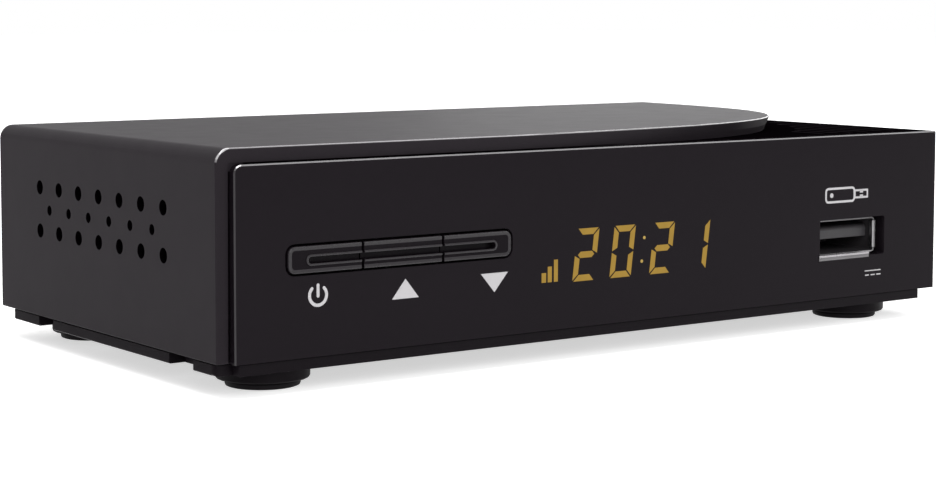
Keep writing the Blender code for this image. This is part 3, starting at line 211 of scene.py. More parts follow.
def weld(piece, *others):
    """Union of pieces that touch or overlap."""
    return combine(piece, others, "UNION")


def gather(name, pieces):
    """Join separate shapes into one piece."""
    deselect()
    for piece in pieces:
        piece.select_set(True)
    bpy.context.view_layer.objects.active = pieces[0]
    if len(pieces) > 1:
        bpy.ops.object.join()
    return named(name)


def move_mesh(piece, move):
    piece.data.transform(Matrix.Translation([m * MM for m in move]))


def linked(name, mesh):
    """New object in the scene with a copy of a mesh."""
    piece = bpy.data.objects.new(name, mesh.copy())
    bpy.context.scene.collection.objects.link(piece)
    piece.data.name = name
    return piece


def twin(piece, name, move=(0, 0, 0)):
    """Copy of a piece with a mesh of its own, moved by so many millimetres."""
    other = linked(name, piece.data)
    move_mesh(other, move)
    return other


def bevel_edges(piece, width, where=lambda edge: True, segments=2, angle=50, slot=0):
    """Round the edges sharper than an angle, where a test on the edge allows it.

    The new faces go to the numbered material slot.
    """
    open_up(piece, "EDGE")
    least = math.radians(angle)

    def sharp(edge):
        return len(edge.link_faces) == 2 and edge.calc_face_angle(0) > least and where(edge)

    if pick(piece, sharp, "edges"):
        bpy.ops.mesh.bevel(offset=width * MM, segments=segments, profile=0.5, affect="EDGES",
                           clamp_overlap=True)
        if slot:
            for face in bmesh.from_edit_mesh(piece.data).faces:
                if face.select:
                    face.material_index = slot
            bmesh.update_edit_mesh(piece.data)
    close_up()


def along(axis):
    """Test for edges that run along one axis, given by its number."""
    def test(edge):
        a, b = edge.verts
        run = b.co - a.co
        return abs(run[axis]) > 0.98 * run.length
    return test


def beyond(axis, limit):
    """Test for parts whose middle lies past a place on an axis."""
    return lambda part: getattr(middle(part), axis) > limit


def short_of(axis, limit):
    """Test for parts whose middle lies before a place on an axis."""
    return lambda part: getattr(middle(part), axis) < limit


def smooth(piece, angle=32):
    """Smooth shading up to an angle, with flat faces kept flat."""
    take(piece)
    bpy.ops.object.shade_smooth_by_angle(angle=math.radians(angle))
    for modifier in list(piece.modifiers):
        bpy.ops.object.modifier_apply(modifier=modifier.name)
    apply_modifier(piece, "WEIGHTED_NORMAL", keep_sharp=True, weight=100)


def box_mm(node):
    """Low and high corner of a node's box, in millimetres."""
    return [Vector(corner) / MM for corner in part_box(node)]


def copied(node, name=None):
    """Clean copy of a CAD node: merged, with the flat faces made whole again."""
    piece = linked(name or node + "_dressed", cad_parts[node].data)
    piece.data.materials.clear()
    take(piece)
    bpy.ops.mesh.customdata_custom_splitnormals_clear()
    open_up(piece, "VERT")
    bpy.ops.mesh.select_all(action="SELECT")
    bpy.ops.mesh.remove_doubles(threshold=0.002 * MM)
    bpy.ops.mesh.dissolve_limited(angle_limit=math.radians(0.6))
    close_up()
    return piece


def dress(piece, finish, stands_for=(), body="case", angle=32, others=()):
    """Give a piece its finishes, its body and the nodes that it stands for."""
    smooth(piece, angle)
    slots = piece.data.materials
    for number, one in enumerate((finish, *others)):
        if number < len(slots):
            slots[number] = one
        else:
            slots.append(one)
    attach(piece, body)
    if stands_for:
        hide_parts(*stands_for)
    return piece


def eased(node, material, width, where=lambda edge: True, segments=2):
    """CAD node with its edges eased, in the finish of what it is made of."""
    piece = copied(node)
    bevel_edges(piece, width, where, segments)
    return dress(piece, material, [node])


def repeated(name, shape, places, material):
    """Copies of a shape at many places as one piece; the shape itself goes."""
    copies = [twin(shape, shape.name, place) for place in places]
    scrap(shape)
    return dress(gather(name, copies), material)


# finishes

def socketed(node, **values):
    for key, value in values.items():
        node.inputs[key.replace("_", " ")].default_value = value
    return node


def noise(tree, place, scale, detail, roughness=0.5):
    """Noise over a place socket."""
    cloud = socketed(tree.nodes.new("ShaderNodeTexNoise"), Scale=scale, Detail=detail,
                     Roughness=roughness)
    tree.links.new(place, cloud.inputs["Vector"])
    return cloud.outputs["Fac"]


def mixed(tree, factor, low, high):
    """Node that passes from one colour to another with a factor socket."""
    blend = tree.nodes.new("ShaderNodeMix")
    blend.data_type = "RGBA"
    socketed(blend, A=(*low, 1), B=(*high, 1))
    tree.links.new(factor, blend.inputs["Factor"])
    return blend


def finish(name, colour, rough, grain=0.12, depth=0.004, mottle=0.10, sheen_swing=0.05,
           metallic=0.0, specular=0.5, stretch=(1, 1, 1)):
    """Procedural finish on Object coordinates.

    grain is the size of the surface grain and depth its height, in millimetres.
    mottle is how far the colour wanders, sheen_swing how far the roughness does.
    """
    made = bpy.data.materials.new(name)
    made.use_nodes = True
    made.diffuse_color = (*colour, 1)
    tree = made.node_tree
    nodes, link = tree.nodes, tree.links.new
    shader = socketed(nodes["Principled BSDF"], Metallic=metallic, Specular_IOR_Level=specular)

    scaled = socketed(nodes.new("ShaderNodeMapping"), Scale=stretch)
    link(nodes.new("ShaderNodeTexCoord").outputs["Object"], scaled.inputs["Vector"])
    place = scaled.outputs["Vector"]

    tint = mixed(tree, noise(tree, place, 90.0, 4.0, 0.6), [c * (1 - mottle) for c in colour],
                 [min(1, c * (1 + mottle)) for c in colour])
    link(tint.outputs["Result"], shader.inputs["Base Color"])

    swing = socketed(nodes.new("ShaderNodeMapRange"), From_Min=0.3, From_Max=0.7,
                     To_Min=max(0.02, rough - sheen_swing), To_Max=min(1, rough + sheen_swing))
    link(noise(tree, place, 260.0, 3.0, 0.55), swing.inputs["Value"])
    link(swing.outputs["Result"], shader.inputs["Roughness"])

    if depth:
        bump = socketed(nodes.new("ShaderNodeBump"), Strength=1.0, Distance=depth * MM)
        link(noise(tree, place, 1 / (grain * MM), 2.0), bump.inputs["Height"])
        link(bump.outputs["Normal"], shader.inputs["Normal"])
    return made


def fade(made, colour, start, end):
    """Let a finish pass into another colour along x, between two places in millimetres."""
    tree = made.node_tree
    nodes, link = tree.nodes, tree.links.new
    base = nodes["Principled BSDF"].inputs["Base Color"]
    split = nodes.new("ShaderNodeSeparateXYZ")
    link(nodes["Texture Coordinate"].outputs["Object"], split.inputs["Vector"])
    ramp = socketed(nodes.new("ShaderNodeMapRange"), From_Min=start * MM, From_Max=end * MM)
    ramp.interpolation_type = "SMOOTHSTEP"
    link(split.outputs["X"], ramp.inputs["Value"])
    blend = mixed(tree, ramp.outputs["Result"], colour, colour)
    link(base.links[0].from_socket, blend.inputs["A"])
    link(blend.outputs["Result"], base)


def lit_finish(name, colour):
    """Lit segment of the display: its own light, with a faint unevenness."""
    made = finish(name, (0.010, 0.006, 0.001), 0.35, depth=0, mottle=0.05, specular=0.1)
    tree = made.node_tree
    shader = socketed(tree.nodes["Principled BSDF"], Emission_Strength=1.0)
    place = tree.nodes["Texture Coordinate"].outputs["Object"]
    glow = mixed(tree, noise(tree, place, 900.0, 2.0), [c * 0.86 for c in colour],
                 [min(1, c * 1.1) for c in colour])
    tree.links.new(glow.outputs["Result"], shader.inputs["Emission Color"])
    return made


SATIN = {"grain": 0.16, "depth": 0.006, "mottle": 0.06}
# settings shared by the lighter edge finishes that paint highlights on bevels
EDGE_HIGHLIGHT = {"grain": 0.3, "metallic": 0.5, "specular": 0.8}
METAL = {"metallic": 1.0}

HOUSING = finish("satin_housing", (0.0125, 0.0096, 0.0125), 0.55, **SATIN, sheen_swing=0.015,
                 specular=0.11)
# lighter copy of the housing finish for the side walls, where more light falls: painted light
WALLS_PAINTED_LIGHT = finish("satin_housing_walls_painted_light", (0.0240, 0.0208, 0.0240), 0.6, **SATIN,
               sheen_swing=0.015, specular=0.05)
# light grey on the housing's bevels, far lighter than the housing itself: a painted highlight
HOUSING_EDGE_HIGHLIGHT = finish("housing_edge_painted_highlight", (0.180, 0.172, 0.180), 0.22, **EDGE_HIGHLIGHT, depth=0.001)
# lighter still, for the bevels round the top-left corners: a painted highlight
CORNER_HIGHLIGHT = finish("corner_edge_painted_highlight", (0.400, 0.390, 0.400), 0.25, **EDGE_HIGHLIGHT, depth=0.001,
                     mottle=0.08, sheen_swing=0.04)
STEP_FACE_PAINTED_HIGHLIGHT = finish("satin_step_face_painted_highlight", (0.0125, 0.0096, 0.0125), 0.55, **SATIN,
                   sheen_swing=0.015, specular=0.11)
# the step wall grows lighter towards its tip, between x 26 and 41 mm: a painted highlight
fade(STEP_FACE_PAINTED_HIGHLIGHT, (0.0780, 0.0740, 0.0780), 26, 41)
# near-black with no reflection at all: painted shade for the lower tier, the vent bores and the
# gaps by the plate
TIER_PAINTED_SHADE = finish("lower_tier_painted_shade", (0.0013, 0.0009, 0.0013), 0.9, grain=0.2, depth=0.006,
              specular=0.0)
PLATE = finish("gloss_front_plate", (0.0086, 0.0064, 0.0086), 0.16, grain=0.5, depth=0.0006,
               mottle=0.06, sheen_swing=0.03, specular=0.05)
# light grey on the plate's outline bevel, far lighter than the plate: a painted highlight
PLATE_EDGE_HIGHLIGHT = finish("plate_edge_painted_highlight", (0.085, 0.081, 0.085), 0.30, **EDGE_HIGHLIGHT, depth=0.0006,
                    sheen_swing=0.04)
# dimmer grey on the plate's side faces, still lighter than the plate: a painted highlight
PLATE_SIDE_HIGHLIGHT = finish("plate_side_painted_highlight", (0.0300, 0.0270, 0.0300), 0.35, grain=0.3, depth=0.0006,
                    sheen_swing=0.04, specular=0.25)
KEYS_FINISH = finish("satin_keys", (0.0056, 0.0040, 0.0056), 0.3, depth=0.002, specular=0.05)
# lighter copy of the key finish for the keys' rims, bevels and bead: a painted highlight
KEYS_RIM_HIGHLIGHT = finish("key_rim_painted_highlight", (0.0170, 0.0144, 0.0170), 0.28, depth=0.001, specular=0.3)
BASE = finish("satin_base", (0.0046, 0.0030, 0.0046), 0.5, **SATIN, sheen_swing=0.02,
              specular=0.07)
# lighter copy of the base finish for its side, where more light falls: painted light
BASE_SIDE_PAINTED_LIGHT = finish("satin_base_side_painted_light", (0.0080, 0.0060, 0.0080), 0.6, **SATIN, sheen_swing=0.02,
                   specular=0.04)
# light grey on the base's bottom bevels: a painted highlight
BASE_EDGE_HIGHLIGHT = finish("base_edge_painted_highlight", (0.0800, 0.0740, 0.0800), 0.35, grain=0.3, depth=0.001)
RUBBER = finish("foot_rubber", (0.0062, 0.0046, 0.0062), 0.6, grain=0.3, depth=0.01,
                specular=0.12)
REAR = finish("satin_rear_panel", (0.0110, 0.0090, 0.0110), 0.5, **SATIN, sheen_swing=0.02,
              specular=0.3)
TINPLATE = finish("bright_tinplate", (0.62, 0.62, 0.60), 0.24, **METAL, grain=0.4, depth=0.002,
                  mottle=0.08, sheen_swing=0.09)
ZINC = finish("zinc_screws", (0.55, 0.55, 0.57), 0.3, **METAL, grain=0.2, depth=0.002,
              mottle=0.12, sheen_swing=0.1)
NICKEL = finish("nickel_sockets", (0.60, 0.57, 0.52), 0.18, **METAL, grain=0.3, depth=0.001,
                mottle=0.05, sheen_swing=0.06)
GOLD = finish("gold_contacts", (0.72, 0.50, 0.20), 0.25, **METAL, grain=0.2, depth=0.001,
              mottle=0.08)
ALUMINIUM = finish("extruded_aluminium", (0.50, 0.51, 0.53), 0.38, **METAL, grain=0.1,
                   depth=0.003, stretch=(1, 0.08, 1), sheen_swing=0.1)
MOULDING = finish("moulded_black", (0.012, 0.012, 0.013), 0.5, grain=0.2, depth=0.005,
                  specular=0.35)
DULL_STEEL = finish("dull_steel", (0.34, 0.33, 0.34), 0.3, **METAL, grain=0.4, depth=0.0004,
                    mottle=0.05)
# darker copy of the shell's steel for the front of its mouth and its lower bead: painted shade
SHELL_RIM_PAINTED_SHADE = finish("shell_rim_painted_shade", (0.150, 0.145, 0.150), 0.4, grain=0.4, depth=0.0005,
                   metallic=0.6)
# dark tinplate for the inside of the USB shell and the top of its tongue: painted shade
SHELL_INSIDE_PAINTED_SHADE = finish("tinplate_painted_shade", (0.034, 0.031, 0.034), 0.45, grain=0.4, depth=0.002,
                      specular=0.3, mottle=0.15)
TONGUE = finish("grey_tongue", (0.040, 0.038, 0.041), 0.5, grain=0.2, specular=0.35)
IVORY = finish("ivory_insulator", (0.62, 0.58, 0.47), 0.45, grain=0.2, depth=0.003)
AMBER = finish("amber_socket", (0.60, 0.24, 0.02), 0.4, grain=0.2, depth=0.003)
EPOXY = finish("chip_epoxy", (0.016, 0.016, 0.017), 0.65, grain=0.1, depth=0.008)
SLEEVE = finish("capacitor_sleeve", (0.010, 0.011, 0.018), 0.3, grain=0.5, depth=0.001)
COPPER = finish("wound_copper", (0.55, 0.22, 0.10), 0.3, **METAL, grain=0.2, depth=0.002)
BOARD = finish("green_board", (0.008, 0.070, 0.028), 0.35, grain=0.3, depth=0.003, mottle=0.25)
PRINT = finish("grey_print", (0.49, 0.476, 0.49), 0.6, grain=0.1, depth=0.001, mottle=0.03)
READOUT = lit_finish("amber_readout", (0.368, 0.224, 0.036))
READOUT_PALE = lit_finish("amber_colon", (0.480, 0.330, 0.090))

NODE_FINISH = {}
for made, nodes in (
    (BOARD, ["main_board", "front_board"]), (REAR, ["rear_panel"]), (ALUMINIUM, ["heat_sink"]),
    (TINPLATE, ["tuner_can", "usb_shell", "hdmi_shell", "scart_shield", "crystal"]),
    (NICKEL, ["aerial_in_socket", "aerial_out_socket", "audio_ring", "dc_pin"]),
    (AMBER, ["audio_socket"]), (TONGUE, ["usb_tongue"]),
    (EPOXY, ["decoder_chip", "memory_chip", "flash_chip"]),
    (RUBBER, ["foot_" + corner for corner in CORNERS]),
    (ZINC, [kind + corner for kind in ("housing_screw_", "board_screw_") for corner in CORNERS]),
    (ZINC, ["switch_" + key for key in KEYS]),
    (SLEEVE, ["capacitor_" + use for use in CAPACITORS]),
):
    NODE_FINISH.update(dict.fromkeys(nodes, made))

# every node, shown or not, gets the finish of what it is made of
for name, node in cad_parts.items():
    for slot in node.material_slots:
        slot.material = NODE_FINISH.get(name, MOULDING)


# housing

def tighten_rim(housing):
    """Make the bevel round the housing's front narrower, and lift the deck's edge a little."""
    arc_x, arc_z, arc_radius = -63.0, TIER_TOP, 2
    wide, wanted, arc_slim = 0.3, 0.12, 0.07
    slim = wide - wanted
    front, lip, back = -35.4, -35.25, 29.5

    def at(low_y, high_y, test):
        def chosen(vert):
            place = vert.co / MM
            return low_y < place.y < high_y and test(place)
        return chosen

    def from_arc(place):
        return math.hypot(place.x - arc_x, place.z - arc_z)

    def on_arc(place):
        return place.x < arc_x + 0.05 and place.z > arc_z + 0.05

    def amid_arc(place):
        turn = math.degrees(math.atan2(place.z - arc_z, arc_x - place.x))
        return 8 < turn < 82 and from_arc(place) > 1.5

    def spread_arc(test, grow):
        spread(housing, at(front, lip, test), (grow, 1, grow), (arc_x, 0, arc_z))

    def at_deck(place):
        return 31.1 < place.z < DECK_RIM

    open_up(housing, "VERT")
    push(housing, at(front, lip, lambda p: at_deck(p) and not on_arc(p)), (0, 0, slim))
    push(housing, at(front, lip, lambda p: -64.8 < p.x < -64.6 and not on_arc(p)), (-slim, 0, 0))
    spread_arc(lambda p: on_arc(p) and from_arc(p) > 1.5,
               (arc_radius - wanted) / (arc_radius - wide))
    push(housing, at(-35.1, -34.9, lambda p: p.z > 31.45 or p.x < -64.9 or
                     (on_arc(p) and from_arc(p) > 1.9)), (0, -slim, 0))
    spread_arc(amid_arc, 1 - arc_slim / (arc_radius - wanted))
    push(housing, at(lip, -35.1, amid_arc), (0, arc_slim, 0))
    push(housing, at(lip, 29.2, lambda p: at_deck(p) and p.x > -30), (0, 0, 0.18))
    push(housing, at(front, back, lambda p: p.z > 31.25 and (p.y < -34.9 or p.x > -20.2)),
         (0, 0, 0.1))
    for step in range(6):
        push(housing, at(front, back, lambda p: p.z > 31.25 and p.x > 4 * step - 22),
             (0, 0, 0.022))
    close_up()


def on_step(place, normal):
    """Whether a face belongs to the swept step between the deck and the lower tier."""
    return (29.6 < place.z < DECK_RIM and -18 < place.x < HOUSING_SIDE - 3
            and -34.9 < place.y < 29 and abs(normal.z) < 0.7
            and (normal.y < -0.1 or normal.x > 0.3))


def make_housing():
    housing = copied("upper_housing", "housing_dressed")
    first, pitch, centre, row, wall_middle = -21.6, 6.2, 20.1, 3.1, 64.3
    for side in (-1, 1):
        holes = [(i, centre + up * row, 1.02, 40) for i in range(7) for up in (-1, 1)]
        holes += [(i + 0.5, centre, 0.72, 32) for i in range(6)]
        cut(housing, gather("drills", [
            rod("drill", (side * wall_middle, first + pitch * i, z), radius, 3.6, "X", sides)
            for i, z, radius, sides in holes]))

    tighten_rim(housing)
    weld(housing, block("plate_seat", (-61.0, SEAT_FACE, 29.53), (-20.0, -33.8, 30.2)),
         block("corner_seat", (-63.6, SEAT_FACE, 28.65), (-60.9, -33.8, 30.2)))
    open_up(housing)
    pick(housing, lambda face: on_step(middle(face), face.normal))
    bpy.ops.mesh.bisect(plane_co=(0, 0, STEP_SPLIT * MM), plane_no=(0, 0, 1))
    close_up()

    def vent_mouth(edge):
        a, b = edge.verts[0].co / MM, edge.verts[1].co / MM
        on_wall = all(abs(abs(p.x) - HOUSING_SIDE) < 0.02 for p in (a, b))
        return on_wall and 14 < a.z < 26 and -24 < a.y < 18

    def outer_edge(edge):
        m = middle(edge)
        return m.z < 5 or m.y > 29.2

    def deck_edge(edge):
        return middle(edge).z > DECK_RIM and middle(edge).y < 29.2

    def opening_edge(edge):
        m = middle(edge)
        return m.y < -35.25 and m.x < -62 and m.z > 5

    bevel_edges(housing, 0.12, vent_mouth)
    bevel_edges(housing, 0.2, outer_edge, 3)
    bevel_edges(housing, 0.05, deck_edge, angle=40)
    bevel_edges(housing, 0.3, opening_edge, 3)
    dress(housing, HOUSING, ["upper_housing"],
          others=(HOUSING_EDGE_HIGHLIGHT, TIER_PAINTED_SHADE, WALLS_PAINTED_LIGHT, STEP_FACE_PAINTED_HIGHLIGHT, CORNER_HIGHLIGHT))
    # slots: edge and corner paint highlights on bevels, tier paints shade, wall is the lit copy,
    # step paints a highlight at the tip
    edge, tier, wall, step, corner = range(1, 6)
    for face in housing.data.polygons:
        place, normal = face.center / MM, face.normal
        # side walls: the lighter copy, painted light
        if abs(normal.x) > 0.9 and abs(place.x) > HOUSING_SIDE - 0.1:
            face.material_index = wall
        # bores of the side vents: painted shade
        elif (abs(normal.x) < 0.6 and abs(place.x) > HOUSING_SIDE - 2.2
                and 15 < place.z < 25 and -24 < place.y < 18):
            face.material_index = tier
        # upper part of the step: painted highlight towards its tip
        if on_step(place, normal) and place.z > STEP_SPLIT:
            face.material_index = step
        # top of the lower tier: painted shade
        if normal.z > 0.7 and abs(place.z - TIER_TOP) < 0.12:
            face.material_index = tier
        # front of the seat in the gap over the plate: painted shade
        elif normal.y < -0.9 and abs(place.y - SEAT_FACE) < 0.01 and place.x > -61.5:
            face.material_index = tier
        # front rim bevel: painted highlight above, painted shade low down by the tier, brightest on
        # the corner arc
        elif place.y < -34.95 and -0.95 < normal.y < -0.1 and normal.z > 0.2:
            face.material_index = edge if place.z > 30.5 or place.x < -60 else tier
            if place.x < -63.05 and place.z > 30.2:
                face.material_index = corner
        # bevels along the deck's top edges: painted highlight
        elif place.z > 31.1 and 0.1 < normal.z < 0.97 and (normal.y < -0.1 or normal.x > 0.3):
            face.material_index = edge


# front plate and keys

def make_plate():
    plate = copied("front_panel", "front_plate_dressed")
    slim = 0.12
    low, high = box_mm("front_panel")
    centre = (low + high) / 2

    def in_middle(place):
        return abs(place.x) < 60 and 8 < place.z < 26

    def window_edge(edge):
        return middle(edge).y < PLATE_FACE + 0.05 and in_middle(middle(edge))

    def outline_edge(edge):
        return middle(edge).y < PLATE_FACE + 0.35 and not in_middle(middle(edge))

    open_up(plate, "VERT")
    pick(plate, lambda v: v.co.y < (PLATE_FACE + 0.02) * MM and
         (v.co.x < (low.x + 1.5) * MM or v.co.x > (high.x - 0.4) * MM or
          v.co.z < (low.z + 0.4) * MM or v.co.z > (high.z - 1.2) * MM), "verts")
    grow = [1 + 2 * slim / (b - a - 0.6) for a, b in zip(low, high)]
    bpy.ops.transform.resize(value=(grow[0], 1, grow[2]), center_override=centre * MM)
    push(plate, lambda v: (PLATE_FACE + 0.28) * MM < v.co.y < (PLATE_FACE + 0.32) * MM,
         (0, -slim, 0))
    for low_x, high_x, low_z, high_z, shift in (
        (38, 54.5, 9.5, 12.0, 0.37), (38, 54.5, 15.5, 18.0, -0.23), (-57, -18, 17.0, 19.5, 0.15),
    ):
        push(plate, lambda v: low_x < v.co.x / MM < high_x and low_z < v.co.z / MM < high_z,
             (0, 0, shift))
    close_up()
    foot_strip = block("foot_strip", (low.x, PLATE_FACE, low.z - 0.12),
                       (high.x, high.y, low.z + 1.5))
    bevel_edges(foot_strip, 0.18,
                lambda edge: along(2)(edge) and middle(edge).y < PLATE_FACE + 0.01, 1)
    weld(plate, foot_strip)
    bevel_edges(plate, 0.12, window_edge)
    # the outline bevel goes to slot 1, the painted highlight
    bevel_edges(plate, 0.07, outline_edge, 3, 20, slot=1)
    dress(plate, PLATE, ["front_panel"], others=(PLATE_EDGE_HIGHLIGHT, PLATE_SIDE_HIGHLIGHT, TIER_PAINTED_SHADE, CORNER_HIGHLIGHT))
    # slots: edge and corner paint highlights, side a dimmer painted highlight, top painted shade
    gloss, edge, side, top, corner = range(5)
    for face in plate.data.polygons:
        place, normal = face.center, face.normal
        if face.material_index == edge and normal.z < 0.15:
            face.material_index = side if normal.z > -0.1 else gloss
        if normal.x < -0.15 and normal.y < -0.15 and place.x < (low.x + 0.5) * MM:
            face.material_index = side if normal.z < 0.3 else edge
        # top face of the plate: painted shade
        elif place.z > (high.z - 0.6) * MM and normal.z > 0.95:
            face.material_index = top
        # top bevel: painted highlight, brightest at the left corner
        elif place.z > (high.z - 0.6) * MM and normal.z > 0.15 and normal.y < -0.15:
            face.material_index = corner if place.x < (low.x + 1) * MM else edge


def stadium(name, x, z, y):
    """Bar with round ends between two depths."""
    piece = block(name, (x[0], y[0], z[0]), (x[1], y[1], z[1]))
    bevel_edges(piece, (z[1] - z[0]) / 2 - 0.01, along(1), 10)
    return piece


def make_key_row():
    """Front of the key row before it is parted: rounded rim, sunk face, bead round the groove."""
    low_x, high_x, low_z, high_z = -55.35, -20.15, 15.35, 18.83
    sink = 0.16
    sunk = KEY_FACE + sink
    row = block("key_row", (low_x, KEY_FACE, low_z), (high_x, KEY_BACK, high_z))
    bevel_edges(row, 1.0, along(1), 8)
    open_up(row)
    pick(row, lambda face: face.normal.y < -0.9)
    bpy.ops.mesh.inset(thickness=0.52 * MM, depth=0)
    bpy.ops.transform.translate(value=(0, sink * MM, 0))
    close_up()

    def at_front(edge):
        return all(vert.co.y < (KEY_FACE + 0.01) * MM for vert in edge.verts)

    def outer(edge):
        m = middle(edge)
        return at_front(edge) and not (low_x + 0.3 < m.x < high_x - 0.3
                                       and low_z + 0.3 < m.z < high_z - 0.3)

    def mouth(edge):
        m = middle(edge)
        return at_front(edge) and -52.6 < m.x < -22.7 and 16.5 < m.z < 17.5

    # the rim's bevels, the bead and the groove's mouth go to slot 1, the painted highlight
    bevel_edges(row, 0.34, outer, 3, slot=1)
    bevel_edges(row, 0.12, lambda edge: at_front(edge) and not outer(edge), angle=10, slot=1)
    bead = stadium("bead", (-52.75, -22.55), (16.25, 17.75), (KEY_FACE, sunk + 0.2))
    bevel_edges(bead, 0.13, at_front, slot=1)
    weld(row, bead)
    cut(row, stadium("groove", (-52.42, -22.88), (16.56, 17.42), (KEY_FACE - 1, KEY_BACK - 0.12)))
    bevel_edges(row, 0.1, mouth, slot=1)
    # front faces of the rim and bead take the painted highlight too
    for face in row.data.polygons:
        if face.normal.y < -0.05 and face.center.y < (sunk - 0.01) * MM:
            face.material_index = 1
    return row


def make_keys():
    row = make_key_row()
    splits, gap = (-60.0, -44.16, -31.5, -15.0), 0.2
    for number, key in enumerate(KEYS):
        piece = copied("key_" + key, "key_cap_" + key)
        cut(piece, block("front", (-70, -40, 10), (0, KEY_BACK - 0.08, 25)))
        cap = twin(row, "cap")
        left, right = splits[number] + gap, splits[number + 1] - gap
        cut(cap, block("left_of_it", (-80, -40, 10), (left, -30, 25)),
            block("right_of_it", (right, -40, 10), (0, -30, 25)))
        bevel_edges(cap, 0.07, lambda edge: min(abs(middle(edge).x - left),
                                                abs(middle(edge).x - right)) < 0.01, angle=60)
        weld(piece, cap)
        dress(piece, KEYS_FINISH, ["key_" + key], key + "_key", 28, [KEYS_RIM_HIGHLIGHT])
    scrap(row)


# print on the plate

def print_bar(name, x, z):
    return block(name, (x[0], PLATE_FACE - 0.03, z[0]), (x[1], PLATE_FACE + 0.02, z[1]))


def round_dot(name, x, z, radius, thick=0.03, sides=32):
    return rod(name, (x, PLATE_FACE - thick / 2 + 0.01, z), radius, thick + 0.02, "Y", sides)


def make_power_sign():
    x, z, outer, stroke = -50.78, 12.38, 1.49, 0.43
    ring = round_dot("power_ring", x, z, outer, sides=72)
    cut(ring, rod("ring_inside", (x, PLATE_FACE, z), outer - stroke, 2, "Y", 72))
    notch = block("ring_gap", (-2, -1, 0), (2, 1, 4))
    open_up(notch, "VERT")
    spread(notch, lambda v: v.co.z < 0.001 * MM, (0.0005, 1, 1))
    spread(notch, lambda v: v.co.z > 0.001 * MM, (2.0, 1, 1))
    close_up()
    move_mesh(notch, (x, PLATE_FACE, z))
    cut(ring, notch)
    reach = (outer - stroke / 2) * math.sqrt(0.5)
    for side in (-1, 1):
        weld(ring, round_dot("ring_end", x + side * reach, z + reach, stroke / 2 * 0.98, 0.029))
    ends = (12.3, 13.68)
    stem = print_bar("stem", (x - stroke / 2, x + stroke / 2), ends)
    for end in ends:
        weld(stem, round_dot("stem_end", x, end, stroke / 2 * 0.999))
    dress(gather("print_power", [ring, stem]), PRINT)


def make_triangle(name, x, z_base, z_tip, half):
    """Filled triangle: a three-sided disc stretched to its width and height."""
    deselect()
    bpy.ops.mesh.primitive_cylinder_add(vertices=3, radius=1 * MM, depth=0.05 * MM,
                                        rotation=(math.pi / 2, 0, 0), location=(0, 0, 0))
    piece = named(name)
    heights = [v.co.z for v in piece.data.vertices]
    tip, base = max(heights) / MM, min(heights) / MM
    wide = max(v.co.x for v in piece.data.vertices) / MM
    tall = (z_tip - z_base) / (tip - base)
    piece.data.transform(Matrix.Diagonal((half / wide, 1, tall, 1)))
    move_mesh(piece, (x, PLATE_FACE - 0.005, z_tip - tip * tall))
    open_up(piece)
    bpy.ops.mesh.select_all(action="SELECT")
    bpy.ops.mesh.normals_make_consistent(inside=False)
    close_up()
    dress(piece, PRINT)


def make_dc_sign():
    """Direct-current sign: a bar over three dashes."""
    parts = [print_bar("bar", (49.1, 52.65), (8.12, 8.28))]
    for ends in ((49.2, 50.05), (50.45, 51.35), (51.72, 52.65)):
        parts.append(print_bar("dash", ends, (7.44, 7.62)))
    dress(gather("print_direct_current", parts), PRINT)


def outlined(name, x, z, stroke, corner):
    """Rounded frame of one stroke's width."""
    shape = print_bar(name, x, z)
    inside = block("inside", (x[0] + stroke, PLATE_FACE - 1, z[0] + stroke),
                   (x[1] - stroke, PLATE_FACE + 1, z[1] - stroke))
    bevel_edges(shape, corner, along(1), 5)
    bevel_edges(inside, max(corner - stroke, 0.05), along(1), 4)
    return cut(shape, inside)


def make_stick_sign():
    """Plain picture of a memory stick: body, plug and two contact holes."""
    body = outlined("stick", (40.2, 46.7), (19.15, 21.55), 0.34, 0.7)
    plug = outlined("plug", (46.5, 49.55), (19.65, 21.05), 0.3, 0.1)
    dots = [print_bar("hole", (47.75, 48.45), (z - 0.16, z + 0.16)) for z in (20.66, 20.04)]
    strap = round_dot("strap", 41.6, 20.35, 0.36)
    dress(gather("print_memory_stick", [weld(body, plug), strap] + dots), PRINT)


# readout

DIGIT_TALL = 7.35
DIGIT_WIDE = 4.1
STROKE = 0.88
SLANT = 0.127
READOUT_LOW = 10.94
LIT = {"2": "abged", "0": "abcdef", "1": "bc"}


def slanted(piece, x):
    lean = Matrix(((1, 0, SLANT, 0), (0, 1, 0, 0), (0, 0, 1, 0), (0, 0, 0, 1)))
    piece.data.transform(Matrix.Translation((x * MM, 0, READOUT_LOW * MM)) @ lean)
    return piece


def tapered(piece, inner, axis, split, low_shift, high_shift):
    """Move a bar's inner corners along an axis, each side of a split by its own amount."""
    open_up(piece, "VERT")
    for side, amount in ((-1, low_shift), (1, high_shift)):
        move = [0, 0, 0]
        move[axis] = amount
        push(piece, lambda v: inner(v) and side * (v.co[axis] - split * MM) > 0, move)
    close_up()
    return piece


